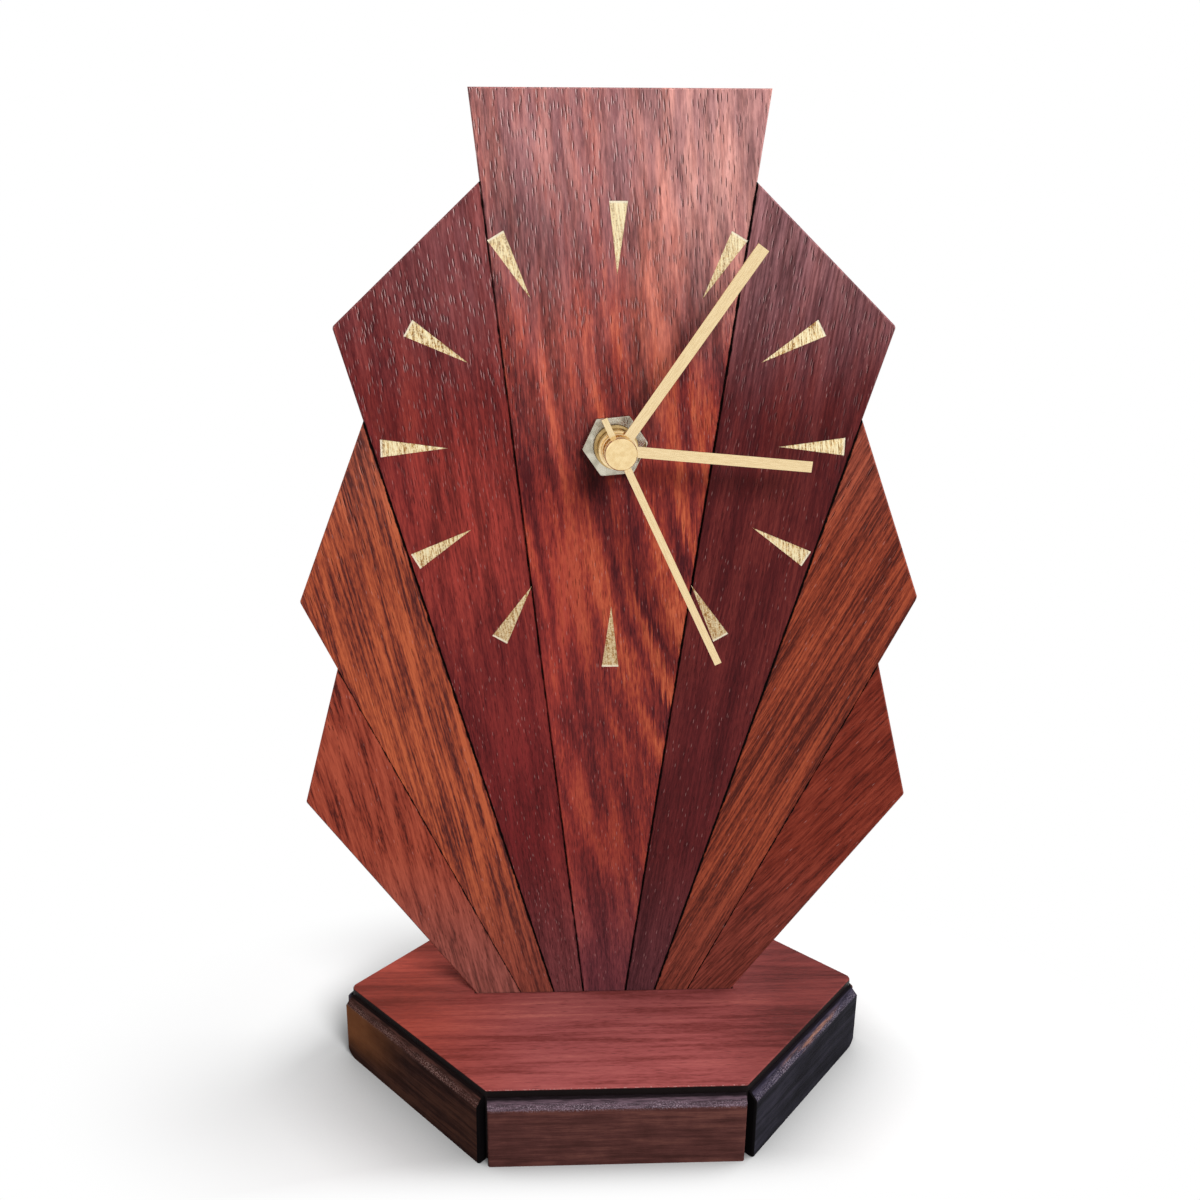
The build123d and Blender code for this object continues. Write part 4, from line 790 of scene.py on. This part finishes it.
NODE_FINISHES = {
    "base_plate": BASE_WOOD, "hour_marks": GILDING, "hex_nut": NICKEL, "rubber_washer": RUBBER,
    "threaded_bush": BRASS, "second_hand_cap": CAP_GOLD, "minute_pipe": BRASS, "hour_wheel": BRASS,
    "seconds_wheel": WHEEL_PLASTIC, "third_wheel": WHEEL_PLASTIC, "centre_wheel": WHEEL_PLASTIC,
    "intermediate_wheel": WHEEL_PLASTIC, "minute_wheel": WHEEL_PLASTIC, "setting_knob": WHEEL_PLASTIC,
    "train_plate": WHEEL_PLASTIC, "coil_bobbin": WHEEL_PLASTIC, "rotor": STEEL, "stator": STEEL,
    "coil_core": STEEL, "quartz_crystal": STEEL, "movement_case": CASE_PLASTIC, "rear_cover": CASE_PLASTIC,
    "coil_winding": COPPER, "circuit_board": BOARD_GREEN, "positive_contact": NICKEL,
    "negative_contact": NICKEL, "battery": CELL_SLEEVE,
    **STAVE_WOODS, **STRIP_WOODS, **HAND_GOLDS,
}
for node_name, node in nodes.items():
    node.data.materials.clear()
    node.data.materials.append(NODE_FINISHES[node_name])


# Pieces
BODY_OF = {node: body for body, held in frame["record"]["behaviour"]["bodies"].items() for node in held}
CORNER_ANGLE = radians(28)
SMOOTH_ANGLE = radians(20)
FLAT_ANGLE = radians(0.5)
MERGE_DISTANCE = 0.0005 * MM
SLIVER = 0.001 * MM


def piece(name, bm, node):
    """Make a mesh a piece that stands for a CAD node, with the node's body and finish."""
    mesh = bpy.data.meshes.new(name)
    bm.to_mesh(mesh)
    bm.free()
    mesh.shade_smooth()
    mesh.set_sharp_from_angle(angle=SMOOTH_ANGLE)
    made = bpy.data.objects.new(name, mesh)
    bpy.context.scene.collection.objects.link(made)
    mesh.materials.append(NODE_FINISHES[node])
    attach(made, BODY_OF[node])
    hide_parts(node)
    return made


def merged_copy(node):
    """Mesh of a CAD node with its loose triangles joined into whole faces."""
    bm = bmesh.new()
    bm.from_mesh(nodes[node].data)
    bmesh.ops.remove_doubles(bm, verts=bm.verts, dist=MERGE_DISTANCE)
    bmesh.ops.dissolve_limit(bm, angle_limit=FLAT_ANGLE, verts=bm.verts, edges=bm.edges)
    return bm


def soften(bm, width, segments=2, where=None):
    """Round the sharp edges of a mesh, or those of them that a test picks."""
    sharp = []
    for edge in bm.edges:
        if len(edge.link_faces) == 2 and edge.calc_face_angle() > CORNER_ANGLE:
            if where is None or where(edge):
                sharp.append(edge)
    bmesh.ops.bevel(bm, geom=sharp, offset=width * MM, affect="EDGES", segments=segments, profile=0.5,
                    material=-1, clamp_overlap=True)
    bmesh.ops.dissolve_degenerate(bm, dist=SLIVER, edges=bm.edges)


def softened_piece(name, node, width, segments=2, where=None):
    """Piece that is a CAD node with its sharp edges rounded."""
    bm = merged_copy(node)
    soften(bm, width, segments, where)
    return piece(name, bm, node)


TIP_ROUND = 1.5
TIP_STEPS = 4
TIP_REACH = 1.0
BASE_EASE = 0.35


def make_eased_base():
    """Base whose edges are eased and whose two side tips are rounded."""
    bm = merged_copy("base_plate")
    tip = (base_high.x - TIP_REACH) * MM
    soften(bm, TIP_ROUND, TIP_STEPS,
           where=lambda edge: all(abs(vertex.co.x) > tip for vertex in edge.verts))
    soften(bm, BASE_EASE)
    return piece("base_plate_eased", bm, "base_plate")


EDGE_DEPTH = 5.0
FACING = 0.95


def outer_edge(edge):
    """Edge between the flat front or back of a part and a deep side of it."""
    flat = any(abs(face.normal.y) > FACING for face in edge.link_faces)
    deep = False
    for face in edge.link_faces:
        depths = [vertex.co.y for vertex in face.verts]
        deep = deep or max(depths) - min(depths) > EDGE_DEPTH * MM
    return flat and deep


STRIP_CUT = 1.3
STRIP_DEPTH = 2.2
CHIP_DEPTH = 0.1
CHIP_WIDE = 2.2
CHIP_FINE = 0.9
CUT_SLACK = 1e-7
NEAR = 0.05 * MM
END_CUTS = (0.1, 0.3, 0.6, 0.9, 1.2, 1.8, 2.6, 3.5)


def corner_drop(distance, radius):
    """How far a rounded corner lies back at a distance from the end."""
    past = max(radius - distance, 0.0)
    return radius - sqrt(max(radius ** 2 - past ** 2, 0.0))


def make_worn_strip(node, turn, outwards):
    """Edge strip whose bevel is chipped along its length and whose outer end is rounded above and below."""
    bm = merged_copy(node)
    direction = Vector((cos(turn), sin(turn), 0.0))
    reach = [vertex.co.dot(direction) for vertex in bm.verts]
    cuts = int((max(reach) - min(reach)) / (STRIP_CUT * MM))
    places = [min(reach) + (max(reach) - min(reach)) * index / cuts for index in range(1, cuts)]
    end = max(place * outwards for place in reach)
    if turn:
        places += [(end - back * MM) * outwards for back in END_CUTS]
    for at in places:
        geometry = bm.verts[:] + bm.edges[:] + bm.faces[:]
        bmesh.ops.bisect_plane(bm, geom=geometry, dist=CUT_SLACK, plane_co=direction * at,
                               plane_no=direction)
    inwards = -Vector((sin(turn), -cos(turn), 0.0))
    middle = sum((vertex.co for vertex in bm.verts), Vector()) / len(bm.verts)
    if inwards.dot(middle) > 0:
        inwards.negate()
    outer = max(vertex.co.dot(-inwards) for vertex in bm.verts)
    rim_low = (STRIP_TOP - STRIP_BEVEL) * MM
    rim_high = STRIP_TOP * MM
    for vertex in bm.verts:
        depth = abs(vertex.co.dot(-inwards) - outer)
        on_low = abs(vertex.co.z - rim_low) < NEAR and depth < NEAR
        on_high = abs(vertex.co.z - rim_high) < NEAR and depth < STRIP_DEPTH * MM - NEAR
        if not (on_low or on_high):
            continue
        wide = noise.noise(vertex.co / (CHIP_WIDE * MM))
        fine = noise.noise(vertex.co / (CHIP_FINE * MM))
        rough = 0.5 + 0.5 * wide + 0.35 * fine
        chip = min(max(rough, 0.0), 1.0) * CHIP_DEPTH * MM
        vertex.co += inwards * chip if on_low else Vector((0.0, 0.0, -chip))
    if turn:
        for vertex in bm.verts:
            distance = (end - vertex.co.dot(direction) * outwards) / MM
            if vertex.co.z > rim_low - CHIP_DEPTH * MM:
                vertex.co.z -= corner_drop(distance, END_ROUND) * MM
            elif vertex.co.z < NEAR:
                vertex.co.z += corner_drop(distance, FOOT_ROUND) * MM
    return piece(node + "_worn", bm, node)


def spun(profile, axis, centre, steps):
    """Closed ring with a closed profile turned round an axis."""
    bm = bmesh.new()
    rim = [bm.verts.new(point) for point in profile]
    edges = [bm.edges.new((rim[index], rim[(index + 1) % len(rim)])) for index in range(len(rim))]
    bmesh.ops.spin(bm, geom=rim + edges, cent=centre, axis=axis, angle=2 * pi, steps=steps, use_merge=True)
    bmesh.ops.remove_doubles(bm, verts=bm.verts, dist=MERGE_DISTANCE)
    bmesh.ops.recalc_face_normals(bm, faces=bm.faces)
    return bm


THREAD_PITCH = 0.6
THREAD_DEPTH = 0.32
BUSH_RADIUS = 4.75
FLANGE_DEPTH = 1.2
BUSH_BORE_RADIUS = 2.6
CREST_HALF = 0.08
BUSH_STEPS = 48


def make_threaded_bush():
    """Bush with thread crests from its front end to the flange inside the case."""
    front = bush_low.y
    back = bush_high.y
    flange_front = back - FLANGE_DEPTH
    flange_radius = (bush_high.x - bush_low.x) / 2
    outline = [(BUSH_BORE_RADIUS, front), (BUSH_RADIUS - THREAD_DEPTH, front)]
    turns = int((flange_front - front) / THREAD_PITCH)
    for turn in range(turns):
        crest = front + (turn + 0.5) * THREAD_PITCH
        outline.append((BUSH_RADIUS, crest - CREST_HALF))
        outline.append((BUSH_RADIUS, crest + CREST_HALF))
        outline.append((BUSH_RADIUS - THREAD_DEPTH, crest + THREAD_PITCH / 2))
    outline += [(BUSH_RADIUS, flange_front), (flange_radius, flange_front), (flange_radius, back)]
    outline.append((BUSH_BORE_RADIUS, back))
    profile = [(radius * MM, depth * MM, DIAL_Z * MM) for radius, depth in outline]
    bm = spun(profile, (0, 1, 0), (0, 0, DIAL_Z * MM), BUSH_STEPS)
    return piece("bush_with_thread", bm, "threaded_bush")


WIRE_PITCH = 0.3
WIRE_GROOVE = 0.12
WIRE_SHOULDER = 0.02
WINDING_CORE = 1.75
WINDING_STEPS = 32


def make_winding():
    """Coil of enamelled wire, drawn as its outer layer of turns."""
    middle = (winding_low + winding_high) / 2
    radius = (winding_high.y - winding_low.y) / 2
    outline = [(WINDING_CORE, winding_low.x)]
    turns = int((winding_high.x - winding_low.x) / WIRE_PITCH)
    pitch = (winding_high.x - winding_low.x) / turns
    for turn in range(turns):
        start = winding_low.x + turn * pitch
        outline.append((radius - WIRE_GROOVE, start))
        outline.append((radius - WIRE_SHOULDER, start + 0.25 * pitch))
        outline.append((radius, start + 0.5 * pitch))
        outline.append((radius - WIRE_SHOULDER, start + 0.75 * pitch))
    outline += [(radius - WIRE_GROOVE, winding_high.x), (WINDING_CORE, winding_high.x)]
    profile = [(along * MM, middle.y * MM, (middle.z + out) * MM) for out, along in outline]
    bm = spun(profile, (1, 0, 0), (0, middle.y * MM, middle.z * MM), WINDING_STEPS)
    return piece("winding_turns", bm, "coil_winding")


STAVE_EASE = 0.2
HOUSING_ROUND = 0.3
HAND_ROUND = 0.1
CAP_ROUND = 0.8
CAP_STEPS = 5
NUT_ROUND = 0.15

for strip_node, (strip_turn, strip_outwards, strip_look) in STRIP_TURNS.items():
    make_worn_strip(strip_node, strip_turn, strip_outwards)
make_threaded_bush()
make_winding()
make_eased_base()
for stave_name in STAVE_LOOKS:
    softened_piece(stave_name + "_eased", stave_name, STAVE_EASE, where=outer_edge)
for housing in ("rear_cover", "movement_case"):
    softened_piece(housing + "_moulded", housing, HOUSING_ROUND, where=outer_edge)
for hand in HAND_ANGLES:
    softened_piece(hand + "_pressed", hand, HAND_ROUND)
softened_piece("second_hand_cap_turned", "second_hand_cap", CAP_ROUND, CAP_STEPS)
softened_piece("hex_nut_plated", "hex_nut", NUT_ROUND)


# Stage
FLOOR_REACH = 6.0
SHADOW_REACH = (0.0734, 0.037, 1.0)
SHADOW_FROM = 1.05
SHADOW_TO = 2.0
FLOOR_LIFT = 0.03
FLOOR_WHITE = (0.74, 0.74, 0.74, 1.0)
CONTACT_REACH = 0.028
LIT_FRONT = (-0.035, -0.049)
FLOOR_UNSEEN = (0.3, 0.3, 0.3, 1.0)
ROOM_LIGHT = 0.1
WHITE = (1.0, 1.0, 1.0, 1.0)


def seen_share(tree):
    """Rays that show the background: straight to the camera, by a reflection or through glass."""
    path = put(tree, "ShaderNodeLightPath").outputs
    share = work(tree, "MAXIMUM", path["Is Camera Ray"], path["Is Glossy Ray"])
    return work(tree, "MAXIMUM", share, path["Is Transmission Ray"])


def make_floor():
    """Plain white sheet that takes the shadow near the clock and runs out into the white background."""
    bm = bmesh.new()
    bmesh.ops.create_grid(bm, x_segments=1, y_segments=1, size=FLOOR_REACH)
    mesh = bpy.data.meshes.new("floor")
    bm.to_mesh(mesh)
    bm.free()
    floor = bpy.data.objects.new("floor", mesh)
    bpy.context.scene.collection.objects.link(floor)
    made, tree = material("floor_white")
    place = put(tree, "ShaderNodeTexCoord").outputs["Object"]
    reach = over(tree, place, SHADOW_REACH)
    fade = ease(tree, length(tree, reach), SHADOW_FROM, SHADOW_TO)
    fade = work(tree, "MAXIMUM", fade, ease(tree, apart(tree, place)[1], *LIT_FRONT))
    shaded = put(tree, "ShaderNodeAmbientOcclusion", {"Color": FLOOR_WHITE, "Distance": CONTACT_REACH})
    sheet = put(tree, "ShaderNodeBsdfDiffuse", {"Color": shaded.outputs["Color"]}).outputs[0]
    lift = put(tree, "ShaderNodeEmission", {"Strength": FLOOR_LIFT}).outputs[0]
    near = put(tree, "ShaderNodeAddShader", {0: sheet, 1: lift}).outputs[0]
    white = put(tree, "ShaderNodeEmission", {"Strength": 1.0}).outputs[0]
    shown = put(tree, "ShaderNodeMixShader", {0: fade, 1: near, 2: white}).outputs[0]
    unseen = put(tree, "ShaderNodeBsdfDiffuse", {"Color": FLOOR_UNSEEN}).outputs[0]
    surface = put(tree, "ShaderNodeMixShader", {0: seen_share(tree), 1: unseen, 2: shown}).outputs[0]
    put(tree, "ShaderNodeOutputMaterial", {"Surface": surface})
    mesh.materials.append(made)


def make_world():
    """Soft even light of a white room, which shows as plain white."""
    world = bpy.data.worlds.new("studio")
    bpy.context.scene.world = world
    world.use_nodes = True
    tree = world.node_tree
    tree.nodes.clear()
    room = put(tree, "ShaderNodeBackground", {"Color": WHITE, "Strength": ROOM_LIGHT}).outputs[0]
    white = put(tree, "ShaderNodeBackground", {"Color": WHITE, "Strength": 1.0}).outputs[0]
    shown = put(tree, "ShaderNodeMixShader", {0: seen_share(tree), 1: room, 2: white}).outputs[0]
    put(tree, "ShaderNodeOutputWorld", {"Surface": shown})


DIAL_CENTRE = (0.0, PANEL_FACE * MM, DIAL_Z * MM)
BASE_MIDDLE = (0.0, 0.0, 0.02)
LAMPS = {
    "window": dict(at=(0.26, -0.62, 0.60), aim=DIAL_CENTRE, size=0.4, power=7.35, mirrored=False),
    "fill": dict(at=(-0.5, -0.55, 0.45), aim=DIAL_CENTRE, size=0.5, power=0.2, mirrored=True),
    "right_back": dict(at=(0.55, 0.18, 0.50), aim=BASE_MIDDLE, size=0.45, power=4.9, mirrored=False),
    "left_back": dict(at=(-0.50, 0.14, 0.50), aim=BASE_MIDDLE, size=0.45, power=1.7, mirrored=False),
}


def make_lamp(name, at, aim, size, power, mirrored):
    """Round soft lamp; one that is not mirrored leaves no glare on the metals."""
    lamp = bpy.data.lights.new(name, "AREA")
    lamp.shape = "DISK"
    lamp.size = size
    lamp.energy = power
    made = bpy.data.objects.new(name, lamp)
    bpy.context.scene.collection.objects.link(made)
    made.location = at
    made.rotation_euler = (Vector(aim) - Vector(at)).to_track_quat("-Z", "Y").to_euler()
    made.visible_camera = False
    made.visible_glossy = mirrored


CAMERA_PLACE = (-0.0225, -0.2254, 0.1910)
CAMERA_YAW = 1.65
CAMERA_PITCH = 14.71
CAMERA_LENS = 30.0
CAMERA_SENSOR = 36.0
CAMERA_SHIFT = (0.0483, -0.0283)
CAMERA_NEAR = 0.005


def make_camera():
    """Camera at the angle of the photo, for a square frame."""
    camera = bpy.data.cameras.new("camera")
    camera.lens = CAMERA_LENS
    camera.sensor_width = CAMERA_SENSOR
    camera.shift_x, camera.shift_y = CAMERA_SHIFT
    camera.clip_start = CAMERA_NEAR
    made = bpy.data.objects.new("camera", camera)
    bpy.context.scene.collection.objects.link(made)
    made.location = CAMERA_PLACE
    made.rotation_euler = (radians(90 - CAMERA_PITCH), 0.0, radians(-CAMERA_YAW))
    bpy.context.scene.camera = made


make_floor()
make_world()
for lamp_name, lamp_look in LAMPS.items():
    make_lamp(lamp_name, **lamp_look)
make_camera()
bpy.context.scene.view_settings.view_transform = "Standard"
